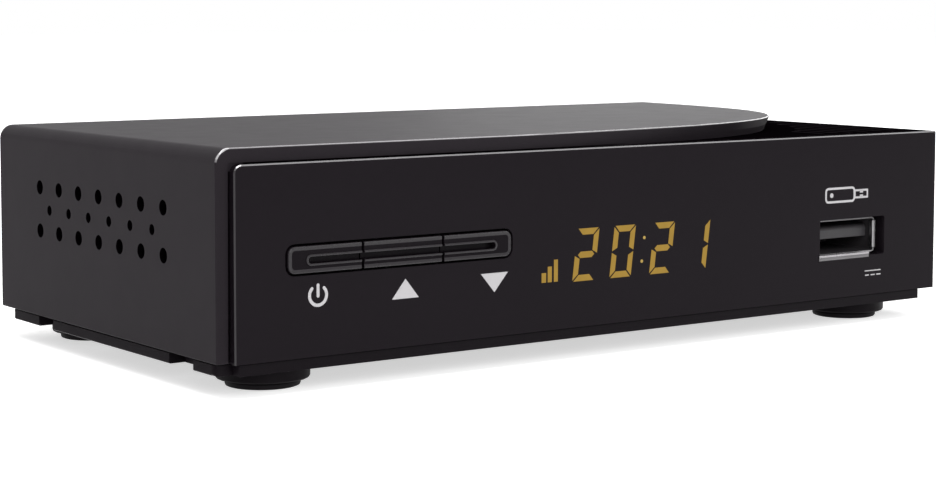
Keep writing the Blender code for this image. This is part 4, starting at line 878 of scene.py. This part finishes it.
def make_segments():
    """One of each segment of a digit, in the digit's own upright cell."""
    wide, tall, mid = DIGIT_WIDE - 0.18, DIGIT_TALL, DIGIT_TALL / 2
    long_cut, short_cut = 0.84, 0.44
    made = {}
    for letter, z, inner in (("a", (tall - STROKE, tall), lambda v: v.co.z < (tall - 0.4) * MM),
                             ("d", (0, STROKE), lambda v: v.co.z > 0.4 * MM)):
        made[letter] = tapered(print_bar(letter, (0.18, wide - 0.16), z), inner, 0, 2,
                               long_cut, -long_cut)
    bar = print_bar("g", (0.98, wide - 0.92), (mid - STROKE / 2, mid + STROKE / 2))
    for side, out in ((-1, 0.98), (1, wide - 0.92)):
        open_up(bar)
        pick(bar, lambda f: f.normal.x * side > 0.9)
        bpy.ops.mesh.extrude_region()
        bpy.ops.transform.translate(value=(side * 0.42 * MM, 0, 0))
        bpy.ops.transform.resize(value=(1, 1, 0.05), center_override=(out * MM, 0, mid * MM))
        close_up()
    made["g"] = bar
    left, right = (0, STROKE), (wide - STROKE + 0.02, wide)
    upper, lower = (mid + 0.12, tall - 0.17), (0.17, mid - 0.12)
    for letter, x, z in (("f", left, upper), ("b", right, upper), ("e", left, lower),
                         ("c", right, lower)):
        way = 1 if x is left else -1
        centre_x = sum(x) / 2
        cuts = (short_cut, -long_cut) if z is upper else (long_cut, -short_cut)
        made[letter] = tapered(print_bar(letter, x, z),
                               lambda v: way * (v.co.x - centre_x * MM) > 0, 2, sum(z) / 2, *cuts)
    return made


def make_readout():
    segments = make_segments()
    for number, (digit, x) in enumerate((("2", -9.24), ("0", -2.54), ("2", 4.85), ("1", 11.74)), 1):
        lit = [slanted(twin(segments[s], "segment"), x) for s in LIT[digit]]
        dress(gather(f"readout_digit_{number}", lit), READOUT)
    scrap(*segments.values())
    dots = [round_dot("dot", 3.9, 16.3, 0.24), round_dot("dot", 3.46, 12.95, 0.24)]
    dress(gather("readout_colon", dots), READOUT_PALE)
    bars = []
    for left, right, top in ((-14.57, -13.8, 12.47), (-13.5, -12.8, 13.3), (-12.42, -11.74, 14.2)):
        bars.append(print_bar("bar", (left - 0.07, right - 0.07), (11.19, top + 0.06)))
    dress(gather("readout_signal_bars", bars), READOUT)


# base and feet

BOSS_LOW = 1.6
BOSS_DROP = 0.6
FOOT_AXES = [tuple((a + b) / 2)[:2] for a, b in (box_mm("foot_" + corner) for corner in CORNERS)]


def make_base():
    tray = copied("base_tray")
    open_up(tray, "VERT")
    for x, y in FOOT_AXES:
        push(tray, lambda v: abs(v.co.z / MM - BOSS_LOW) < 0.25 and
             math.hypot(v.co.x / MM - x, v.co.y / MM - y) < 6.4, (0, 0, -BOSS_DROP))
    close_up()
    bevel_edges(tray, 0.3, lambda edge: along(1)(edge) and abs(middle(edge).x) > 64
                and middle(edge).z < 3, 3)
    bevel_edges(tray, 0.1, short_of("z", 4.6))
    dress(tray, BASE, ["base_tray"], others=(BASE_EDGE_HIGHLIGHT, BASE_SIDE_PAINTED_LIGHT))
    # side is the lighter copy for the lit side, painted light; edge paints a highlight on the
    # bottom bevels
    edge, side = 1, 2
    for face in tray.data.polygons:
        place, normal = face.center / MM, face.normal
        if normal.x < -0.7 and place.x < -60:
            face.material_index = side
        if -0.96 < normal.z < -0.15 and normal.y < -0.1 and 2 < place.z < 3.1:
            face.material_index = edge
        elif -0.9 < normal.z < -0.3 and abs(place.x) > 64 and 2 < place.z < 3.2:
            face.material_index = edge


def make_feet():
    low, high = box_mm("foot_front_left")
    centre = (low + high) / 2
    wide = (high.x - low.x) / 2
    steps = [(3.1, 0.35), (3.3, 0.1), (3.5, 0.0), (wide - 0.3, 0.0), (wide - 0.09, 0.08),
             (wide, 0.28), (wide, 0.66), (wide - 0.06, 0.78), (4.66, 0.83), (4.6, 0.88),
             (4.6, high.z)]
    foot = turned("foot_shape", steps, (centre.x, centre.y, 0), "Z", 72)
    for corner in CORNERS:
        name = "foot_" + corner
        a, b = box_mm(name)
        shift = (a + b) / 2 - centre
        dress(twin(foot, "rubber_" + name, (shift.x, shift.y, 0)), RUBBER, [name], angle=25)
    scrap(foot)


# USB socket

USB_X, USB_Z = 46.2, 13.7


def make_usb_shell():
    """Folded shell: a tube with round corners and a lip turned out at each side of its mouth."""
    x, z, front, back = 6.25, 2.75, -35.05, -21.1
    wall, lip_left, lip_right = 0.26, 39.02, 49.85
    shell = block("usb_shell_dressed", (USB_X - x, front, USB_Z - z), (USB_X + x, back, USB_Z + z))
    bevel_edges(shell, 0.6, along(1), 4)
    hollow = block("hollow", (USB_X - x + wall, front - 1, USB_Z - z + wall),
                   (USB_X + x - wall, back + 1, USB_Z + z - wall))
    bevel_edges(hollow, 0.3, along(1), 3)
    cut(shell, hollow)
    bevel_edges(shell, 0.05, lambda edge: all(v.co.y < (front + 0.01) * MM for v in edge.verts), 1)

    def lip_bar(name, low_y, high_y, low_z, high_z):
        return block(name, (lip_left, low_y, low_z), (lip_right, high_y, high_z))

    lips = [lip_bar("lip_floor", PLATE_FACE - 0.1, front + 0.7, 10.78, 11.05)]
    for low_z, high_z, proud in ((10.90, 11.23, 0.22), (10.39, 10.80, 0.17)):
        bead = lip_bar("lip_bead", PLATE_FACE - proud, PLATE_FACE - 0.02, low_z, high_z)
        bevel_edges(bead, 0.1, short_of("y", PLATE_FACE - proud + 0.01), 3)
        lips.append(bead)
    lips.append(lip_bar("lip_back", PLATE_FACE - 0.12, PLATE_FACE - 0.01, 10.5, 11.1))
    for left, right in ((USB_X - x - 0.13, USB_X - x + 0.2), (USB_X + x - 0.57, USB_X + x + 0.13)):
        lip = block("side_lip", (left, front - 0.12, 11.64), (right, front + 0.5, 15.88))
        bevel_edges(lip, 0.06, short_of("y", front))
        lips.append(lip)
    weld(shell, *lips)
    dress(shell, DULL_STEEL, ["usb_shell"], others=(SHELL_INSIDE_PAINTED_SHADE, SHELL_RIM_PAINTED_SHADE))
    # inside paints shade within the shell; rim paints shade on the mouth's front and lower bead
    inside, rim = 1, 2
    for face in shell.data.polygons:
        place, normal = face.center / MM, face.normal
        inward = (place.x - USB_X) * normal.x + (place.z - USB_Z) * normal.z < 0
        if inward and place.y > front + 0.4:
            face.material_index = inside
        elif place.z < 10.82 or place.y > PLATE_FACE + 0.5 and not 11.6 < place.z < 15.9:
            face.material_index = rim


def make_usb():
    make_usb_shell()
    tongue = copied("usb_tongue")
    for width, side, segments in ((0.6, beyond("z", USB_Z + 1), 3), (0.1, short_of("z", USB_Z), 2)):
        bevel_edges(tongue, width, lambda edge: middle(edge).y < -33.6 and side(edge), segments)
    dress(tongue, TONGUE, ["usb_tongue"], others=[SHELL_INSIDE_PAINTED_SHADE])
    # up-facing faces of the tongue, under the shell's top: painted shade
    for face in tongue.data.polygons:
        if face.normal.z > 0.1:
            face.material_index = 1
    under = USB_Z + 0.7 - 0.95
    contact = block("contact", (-0.5, -33.3, under - 0.06), (0.5, -26.0, under + 0.02))
    bevel_edges(contact, 0.03, short_of("y", -33), 1)
    repeated("usb_contacts", contact, [(USB_X + x, 0, 0) for x in (-3.5, -1.0, 1.0, 3.5)], GOLD)


# rear panel and its sockets

def make_aerial(node, x, male):
    """Aerial socket: plated sleeve with a grooved collar, ivory insulator, centre contact."""
    place = (x, 0, 16.85)
    sleeve = [
        (2.0, 27.35), (4.8, 27.35), (4.8, 29.1), (5.45, 29.1), (5.6, 29.25), (5.6, 29.75),
        (5.45, 29.85), (5.45, 29.95), (5.6, 30.05), (5.6, 30.55), (5.45, 30.7), (4.8, 30.7),
        (4.8, 33.2), (4.66, 33.34), (4.66, 33.66), (4.8, 33.8), (4.8, 36.45), (4.68, 36.68),
        (4.45, 36.78), (4.25, 36.7), (4.1, 36.5), (4.1, 30.3), (2.0, 30.3),
    ]
    insulator = [(3.0, 29.8), (4.06, 29.8)]
    if male:
        insulator += [(4.06, 31.2), (3.9, 31.4), (1.7, 31.4), (1.6, 31.3), (0.5, 31.3)]
        contact = [(0.4, 30.2), (1.15, 30.2), (1.15, 34.9), (0.95, 35.45), (0.55, 35.75),
                   (0.1, 35.8)]
    else:
        insulator += [(4.06, 30.9), (2.5, 30.9), (2.5, 35.55), (2.35, 35.75), (1.75, 35.75),
                      (1.7, 35.6), (1.7, 31.0), (0.5, 31.0)]
        contact = [(1.0, 30.6), (1.66, 30.6), (1.66, 35.6), (1.56, 35.7), (1.3, 35.7),
                   (1.2, 35.6), (1.2, 31.2), (0.1, 31.2)]
    dress(turned(node + "_sleeve", sleeve, place, "Y", 72), NICKEL, [node], angle=24)
    dress(turned(node + "_insulator", insulator, place, "Y", 56), IVORY, angle=24)
    dress(turned(node + "_contact", contact, place, "Y", 40), GOLD, angle=24)


def make_hdmi():
    eased("hdmi_shell", TINPLATE, 0.08, beyond("y", REAR_FACE))
    eased("hdmi_tongue", MOULDING, 0.12, beyond("y", 24))
    x, z = -22.5, BOARD_TOP + 2.85
    contact = block("contact", (-0.15, 24.0, -0.05), (0.15, 28.0, 0.03))
    places = [(x + (i - 4.5) * 1.0, 0, z + 0.83) for i in range(10)]
    places += [(x + (i - 4) * 1.0, 0, z - 0.81) for i in range(9)]
    repeated("hdmi_contacts", contact, places, GOLD)


def make_scart():
    eased("scart_socket", MOULDING, 0.1, beyond("y", REAR_FACE - 0.05))
    eased("scart_shield", TINPLATE, 0.12, beyond("y", 31))
    leaf = block("leaf", (-0.22, 22.4, -0.9), (0.22, 27.9, 0.9))
    bevel_edges(leaf, 0.15, beyond("y", 27))
    places = [(9.1 + ((i - 4.5) * 3.6 + 0.9 * row), 0, 19.15 + row * 2.8)
              for row in (-1, 1) for i in range(10)]
    repeated("scart_contacts", leaf, places, TINPLATE)


def make_audio():
    eased("audio_socket", AMBER, 0.2)
    place = (40.5, 0, BOARD_TOP + 5.2)
    ring = [
        (2.0, 27.35), (4.13, 27.35), (4.13, 33.0), (4.02, 33.1), (4.02, 33.4), (4.13, 33.5),
        (4.13, 36.05), (4.02, 36.28), (3.85, 36.38), (3.6, 36.33), (3.45, 36.15), (3.4, 35.9),
        (3.4, 29.85), (2.0, 29.85),
    ]
    core = [(2.6, 29.5), (3.36, 29.5), (3.36, 30.3), (2.6, 30.3), (2.6, 35.1), (2.45, 35.35),
            (1.85, 35.35), (1.75, 35.2), (1.75, 30.4), (0.3, 30.4)]
    contact = [(1.3, 30.2), (1.72, 30.2), (1.72, 35.1), (1.62, 35.2), (1.45, 35.2), (1.36, 35.1),
               (1.36, 30.5), (0.2, 30.5)]
    dress(turned("audio_ring_dressed", ring, place, "Y", 64), NICKEL, ["audio_ring"], angle=24)
    dress(turned("audio_core", core, place, "Y", 56), AMBER, angle=24)
    dress(turned("audio_contact", contact, place, "Y", 40), GOLD, angle=24)


def make_dc_inlet():
    low, high = box_mm("dc_inlet")
    x, z, face, bore = 50.5, BOARD_TOP + 6.2, high.y, 3.1
    body = block("dc_inlet_dressed", low, high)
    bevel_edges(body, 0.35, segments=3)
    cut(body, rod("bore", (x, face - 4.0, z), bore, 10.0, "Y", 64))

    def mouth(edge):
        m = middle(edge)
        return m.y > face - 0.05 and abs(math.hypot(m.x - x, m.z - z) - bore) < 0.05

    bevel_edges(body, 0.3, mouth, 3)
    dress(body, MOULDING, ["dc_inlet"])
    floor = face - 8.7
    pin = turned("dc_pin_dressed", [
        (1.9, floor - 0.2), (1.9, floor + 0.15), (1.0, floor + 0.2), (1.0, face - 1.7),
        (0.85, face - 1.3), (0.5, face - 1.05), (0.08, face - 1.0),
    ], (x, 0, z), "Y", 40)
    dress(pin, NICKEL, ["dc_pin"], angle=24)
    spring = block("dc_spring", (x - 0.9, face - 7.6, z - 3.05), (x + 0.9, face - 1.4, z - 2.8))
    bevel_edges(spring, 0.1)
    dress(spring, NICKEL)


# screws

def make_screw(node, up, thick):
    """Pan-headed screw with a cross recess. up is 1 for a head on top, -1 for one underneath."""
    low, high = box_mm(node)
    head = (high.x - low.x) / 2 * 0.99
    head_top, tip = (high.z, low.z) if up > 0 else (low.z, high.z)
    underside = head_top - up * thick
    tall, length = abs(underside - head_top), abs(tip - underside)
    shank, pitch = 0.45 * head, 0.55
    root = shank * 0.82
    steps = [(0.15, 0.0), (shank * 0.5, 0.35), (shank * 0.96, 0.9)]
    for i in range(int((length - 1.6) / pitch)):
        base = 1.0 + i * pitch
        steps += [(root, base), (shank, base + 0.2), (root, base + 0.4)]
    steps += [(root, length), (head * 0.97, length), (head, length + 0.1)]
    steps += [(head * wide, length + tall * rise) for wide, rise in
              ((1, 0.4), (0.93, 0.66), (0.76, 0.88), (0.5, 0.98), (0.2, 1))]
    screw = turned("cross_" + node, steps, (0, 0, 0), "Z", 40)
    for wide, deep in ((head * 1.15, head * 0.24), (head * 0.24, head * 1.15)):
        cut(screw, block("slot", (-wide / 2, -deep / 2, length + tall * 0.25),
                         (wide / 2, deep / 2, length + tall * 1.3)))
    if up < 0:
        screw.data.transform(Matrix.Rotation(math.pi, 4, "X"))
    move_mesh(screw, ((low.x + high.x) / 2, (low.y + high.y) / 2, tip))
    dress(screw, ZINC, [node], angle=30)


def make_screws():
    for corner in CORNERS:
        make_screw("housing_screw_" + corner, -1, 1.7)
        make_screw("board_screw_" + corner, 1, 1.4)


# inside

def press_in(piece, test, margin, depth):
    """Press the faces that pass a test in, inside a margin."""
    open_up(piece)
    pick(piece, test)
    bpy.ops.mesh.inset(thickness=margin * MM, depth=0)
    bpy.ops.mesh.inset(thickness=depth * MM, depth=-depth * MM)
    close_up()


def make_tuner():
    """Tuner can with its lid's folded rim and two trimming holes."""
    low, high = box_mm("tuner_can")
    can = block("tuner_can_dressed", low, high)
    bevel_edges(can, 0.25)
    rim = block("lid_rim", (low.x - 0.12, low.y - 0.12, high.z - 2.6),
                (high.x + 0.12, high.y - 0.6, high.z - 0.5))
    bevel_edges(rim, 0.1)
    weld(can, rim)
    for x in (low.x + 7, high.x - 8):
        cut(can, rod("trimming_hole", (x, (low.y + high.y) / 2, high.z), 1.1, 1.6, "Z", 32))
    dress(can, TINPLATE, ["tuner_can"])


def make_chips():
    eased("decoder_chip", EPOXY, 0.12)
    for node, pitch, count, wide in (("memory_chip", 0.8, 15, 0.35), ("flash_chip", 1.1, 4, 0.42)):
        chip = copied(node)
        bevel_edges(chip, 0.12)
        low, high = box_mm(node)
        cut(chip, rod("pin_one_mark", (low.x + 0.9, low.y + 0.9, high.z), 0.35, 0.16, "Z", 24))
        dress(chip, EPOXY, [node])
        half, shoulder = (high.x - low.x) / 2, 0.55 * (high.z - low.z)

        def lead_bar(name, low_x, high_x, low_z, high_z):
            return block(name, (low_x, -wide / 2, low_z), (high_x, wide / 2, high_z))

        lead = weld(lead_bar("lead", half + 0.25, half + 0.85, 0, 0.13),
                    lead_bar("riser", half + 0.25, half + 0.38, 0.05, shoulder - 0.05),
                    lead_bar("shoulder", half - 0.1, half + 0.38, shoulder - 0.13, shoulder))
        bevel_edges(lead, 0.03, segments=1)
        leads = []
        for turn in (0, math.pi):
            for i in range(count):
                one = twin(lead, "lead")
                one.data.transform(Matrix.Rotation(turn, 4, "Z"))
                move_mesh(one, ((low.x + high.x) / 2,
                                (low.y + high.y) / 2 + (i - (count - 1) / 2) * pitch, low.z))
                leads.append(one)
        scrap(lead)
        dress(gather(node + "_leads", leads), TINPLATE)


def make_crystal():
    """Drawn can with round ends on a wider flange."""
    low, high = box_mm("crystal")
    flange = block("crystal_dressed", low, (high.x, high.y, low.z + 0.5))
    bevel_edges(flange, 2.1, along(2), 8)
    can = block("can", (low.x + 0.4, low.y + 0.4, low.z + 0.3),
                (high.x - 0.4, high.y - 0.4, high.z))
    bevel_edges(can, 1.75, along(2), 8)
    bevel_edges(can, 0.35, beyond("z", high.z - 0.01), 3)
    dress(weld(flange, can), TINPLATE, ["crystal"])


def make_coil():
    """Drum core on a square seat, wound with copper wire."""
    low, high = box_mm("power_coil")
    centre = ((low.x + high.x) / 2, (low.y + high.y) / 2, low.z)
    seat = block("power_coil_dressed", low, (high.x, high.y, low.z + 0.8))
    bevel_edges(seat, 1.2, along(2), 1)
    drum = turned("drum", [(2.0, 0.6), (3.4, 0.6), (3.4, 1.2), (2.2, 1.3), (2.2, 3.3), (3.4, 3.4),
                           (3.4, 4.05), (3.25, 4.2)], centre, "Z", 56)
    dress(weld(seat, drum), EPOXY, ["power_coil"])
    wire = [(2.0, 1.36)]
    for turn in range(6):
        start = 1.36 + 0.32 * turn
        wire += [(2.9, start), (3.02, start + 0.08), (3.02, start + 0.22), (2.9, start + 0.3)]
    dress(turned("coil_winding", wire + [(2.0, 3.27)], centre, "Z", 56), COPPER, angle=24)


def make_capacitor(node):
    """Sleeved can with a crimped foot, a scored metal top and the stripe of its minus side."""
    low, high = box_mm(node)
    x, y = (low.x + high.x) / 2, (low.y + high.y) / 2
    radius, tall = (high.x - low.x) / 2, high.z - low.z
    sleeve = turned(node + "_dressed", [
        (radius - 0.6, 0), (radius - 0.08, 0), (radius, 0.1), (radius, 0.55), (radius - 0.3, 0.85),
        (radius - 0.3, 1.05), (radius, 1.35), (radius, tall - 0.45), (radius - 0.12, tall - 0.18),
        (radius - 0.4, tall - 0.02), (radius - 0.75, tall - 0.02), (radius - 0.8, tall - 0.15),
    ], (x, y, low.z), "Z", 56)
    dress(sleeve, SLEEVE, [node], angle=24)
    top = turned(node + "_top", [
        (radius - 0.9, tall - 0.4), (radius - 0.79, tall - 0.4), (radius - 0.79, tall - 0.1),
        (radius - 0.9, tall - 0.06),
    ], (x, y, low.z), "Z", 48)
    for wide, deep in ((radius, 0.16), (0.16, radius)):
        cut(top, block("score", (x - wide / 2, y - deep / 2, high.z - 0.16),
                       (x + wide / 2, y + deep / 2, high.z)))
    dress(top, ALUMINIUM)
    height = low.z + tall / 2 + 0.4
    stripe = rod(node + "_stripe", (x, y, height), radius + 0.03, tall - 2.4, "Z", 56)
    cut(stripe, rod("inside", (x, y, height), radius - 0.08, tall, "Z", 56),
        block("rest", (x - 0.78 * radius, y - 9, low.z - 1), (x + 9, y + 9, high.z + 1)))
    dress(stripe, PRINT)


def make_switch(key):
    """Tact switch: moulded body with a metal cover held by four studs, and its plunger."""
    node = "switch_" + key
    low, high = box_mm(node)
    body = copied(node)
    bevel_edges(body, 0.15)
    for x in (low.x + 0.8, high.x - 0.8):
        for z in (low.z + 0.8, high.z - 0.8):
            stud = rod("stud", (x, low.y + 0.05, z), 0.42, 0.34, "Y", 20)
            bevel_edges(stud, 0.1, short_of("y", low.y))
            weld(body, stud)
    dress(body, MOULDING, [node], others=[ZINC])
    for face in body.data.polygons:
        face.material_index = int(face.center.y < (low.y + 0.35) * MM)
    low, high = box_mm("plunger_" + key)
    radius = (high.x - low.x) / 2
    stem = turned("plunger_dressed_" + key, [
        (radius - 0.2, low.y), (radius, low.y + 0.2), (radius, high.y - 0.1),
        (radius - 0.1, high.y),
    ], ((low.x + high.x) / 2, 0, (low.z + high.z) / 2), "Y", 40)
    dress(stem, MOULDING, ["plunger_" + key], key + "_key")


def make_inside():
    low, high = box_mm("heat_sink")
    eased("heat_sink", ALUMINIUM, 0.15, beyond("z", low.z + 1.6), 1)
    make_tuner()
    make_chips()
    make_crystal()
    make_coil()
    for use in CAPACITORS:
        make_capacitor("capacitor_" + use)
    for key in KEYS:
        make_switch(key)
    eased("main_board", BOARD, 0.1, segments=1)
    eased("front_board", BOARD, 0.1, segments=1)
    eased("ir_receiver", MOULDING, 0.12)
    screen = copied("display_module")
    bevel_edges(screen, 0.15)
    press_in(screen, lambda face: face.normal.y < -0.9 and face.calc_area() > 20 * MM ** 2,
             0.7, 0.15)
    dress(screen, MOULDING, ["display_module"])
    eased("board_link", MOULDING, 0.12)
    low, high = box_mm("board_link")
    pin = block("pin", (-0.32, -0.32, -0.3), (0.32, 0.32, 0.8))
    bevel_edges(pin, 0.12, beyond("z", 0.7))
    places = [(x * 2.54, (low.y + high.y) / 2, high.z) for x in range(-4, 5)]
    repeated("link_pins", pin, places, GOLD)


make_housing()
make_plate()
make_keys()
make_power_sign()
make_triangle("print_up", -37.30, 10.89, 13.49, 2.13)
make_triangle("print_down", -22.75, 13.19, 10.57, 2.27)
make_readout()
make_base()
make_feet()
make_usb()
make_dc_sign()
make_stick_sign()
eased("rear_panel", REAR, 0.12, beyond("y", REAR_FACE - 0.05))
make_aerial("aerial_in_socket", -49.2, False)
make_aerial("aerial_out_socket", -37.2, True)
make_hdmi()
make_scart()
make_audio()
make_dc_inlet()
make_screws()
make_inside()


# stage

def any_ray(tree, first, *kinds):
    """Socket that is 1 for rays of the named kinds."""
    rays = tree.nodes.new("ShaderNodeLightPath")
    found = rays.outputs[first]
    for kind in kinds:
        most = tree.nodes.new("ShaderNodeMath")
        most.operation = "MAXIMUM"
        tree.links.new(found, most.inputs[0])
        tree.links.new(rays.outputs[kind], most.inputs[1])
        found = most.outputs[0]
    return found


def make_floor():
    deselect()
    bpy.ops.mesh.primitive_plane_add(size=6, location=(0, 0, 0))
    floor = named("floor")
    made = bpy.data.materials.new("pale_floor")
    made.use_nodes = True
    tree = made.node_tree
    shader = socketed(tree.nodes["Principled BSDF"], Base_Color=(0.82, 0.82, 0.82, 1),
                      Roughness=0.9, Specular_IOR_Level=0.0, Emission_Color=(1, 1, 1, 1))
    lift = tree.nodes.new("ShaderNodeMath")
    lift.operation = "MULTIPLY"
    lift.inputs[1].default_value = 0.60
    tree.links.new(any_ray(tree, "Is Camera Ray", "Is Glossy Ray"), lift.inputs[0])
    tree.links.new(lift.outputs[0], shader.inputs["Emission Strength"])
    floor.data.materials.append(made)


def make_world():
    """White studio: half its light on the object, full white where it is seen."""
    world = bpy.data.worlds.new("studio")
    bpy.context.scene.world = world
    world.use_nodes = True
    tree = world.node_tree
    nodes, link = tree.nodes, tree.links.new
    dim = socketed(nodes["Background"], Color=(1, 1, 1, 1), Strength=0.50)
    white = socketed(nodes.new("ShaderNodeBackground"), Color=(1, 1, 1, 1), Strength=1.0)
    either = nodes.new("ShaderNodeMixShader")
    seen = any_ray(tree, "Is Camera Ray", "Is Glossy Ray", "Is Transmission Ray")
    for number, socket in enumerate((seen, dim.outputs[0], white.outputs[0])):
        link(socket, either.inputs[number])
    link(either.outputs[0], nodes["World Output"].inputs["Surface"])


def softbox(name, direction, distance, wide, tall, radiance):
    """Lamp at a distance from the middle of the object, turned to face it."""
    lamp = bpy.data.lights.new(name, "AREA")
    lamp.shape = "RECTANGLE"
    lamp.size, lamp.size_y = wide, tall
    lamp.energy = radiance * math.pi * wide * tall
    holder = bpy.data.objects.new(name, lamp)
    bpy.context.scene.collection.objects.link(holder)
    way = Vector(direction).normalized()
    holder.location = Vector((0, 0, 0.015)) + way * distance
    holder.rotation_euler = (-way).to_track_quat("-Z", "Y").to_euler()
    holder.visible_camera = False


def make_camera():
    seen = bpy.data.cameras.new("photo_camera")
    seen.lens = 80.80
    seen.sensor_width = 36
    seen.sensor_fit = "HORIZONTAL"
    seen.shift_y = -80 / 936
    seen.clip_start = 0.01
    holder = bpy.data.objects.new("photo_camera", seen)
    bpy.context.scene.collection.objects.link(holder)
    holder.location = (-0.19170, -0.26192, 0.04906)
    turn, dip, lean = math.radians(-36.098), math.radians(90 - 4.451), math.radians(0.11)
    aim = (Matrix.Rotation(turn, 3, "Z") @ Matrix.Rotation(dip, 3, "X")
           @ Matrix.Rotation(lean, 3, "Z"))
    holder.rotation_euler = aim.to_euler()
    bpy.context.scene.camera = holder


make_floor()
make_world()
softbox("overhead", (0.40, -0.04, 0.91), 1.0, 0.6, 1.3, 2.6)
softbox("above_left", (-0.35, -0.14, 0.92), 0.8, 0.25, 0.25, 10.5)
softbox("rear_right", (0.80, 0.56, 0.20), 0.55, 0.4, 0.3, 1.4)
softbox("front_left", (-0.28, -0.84, 0.46), 0.7, 0.4, 0.4, 4.2)
make_camera()
bpy.context.scene.view_settings.view_transform = "Standard"
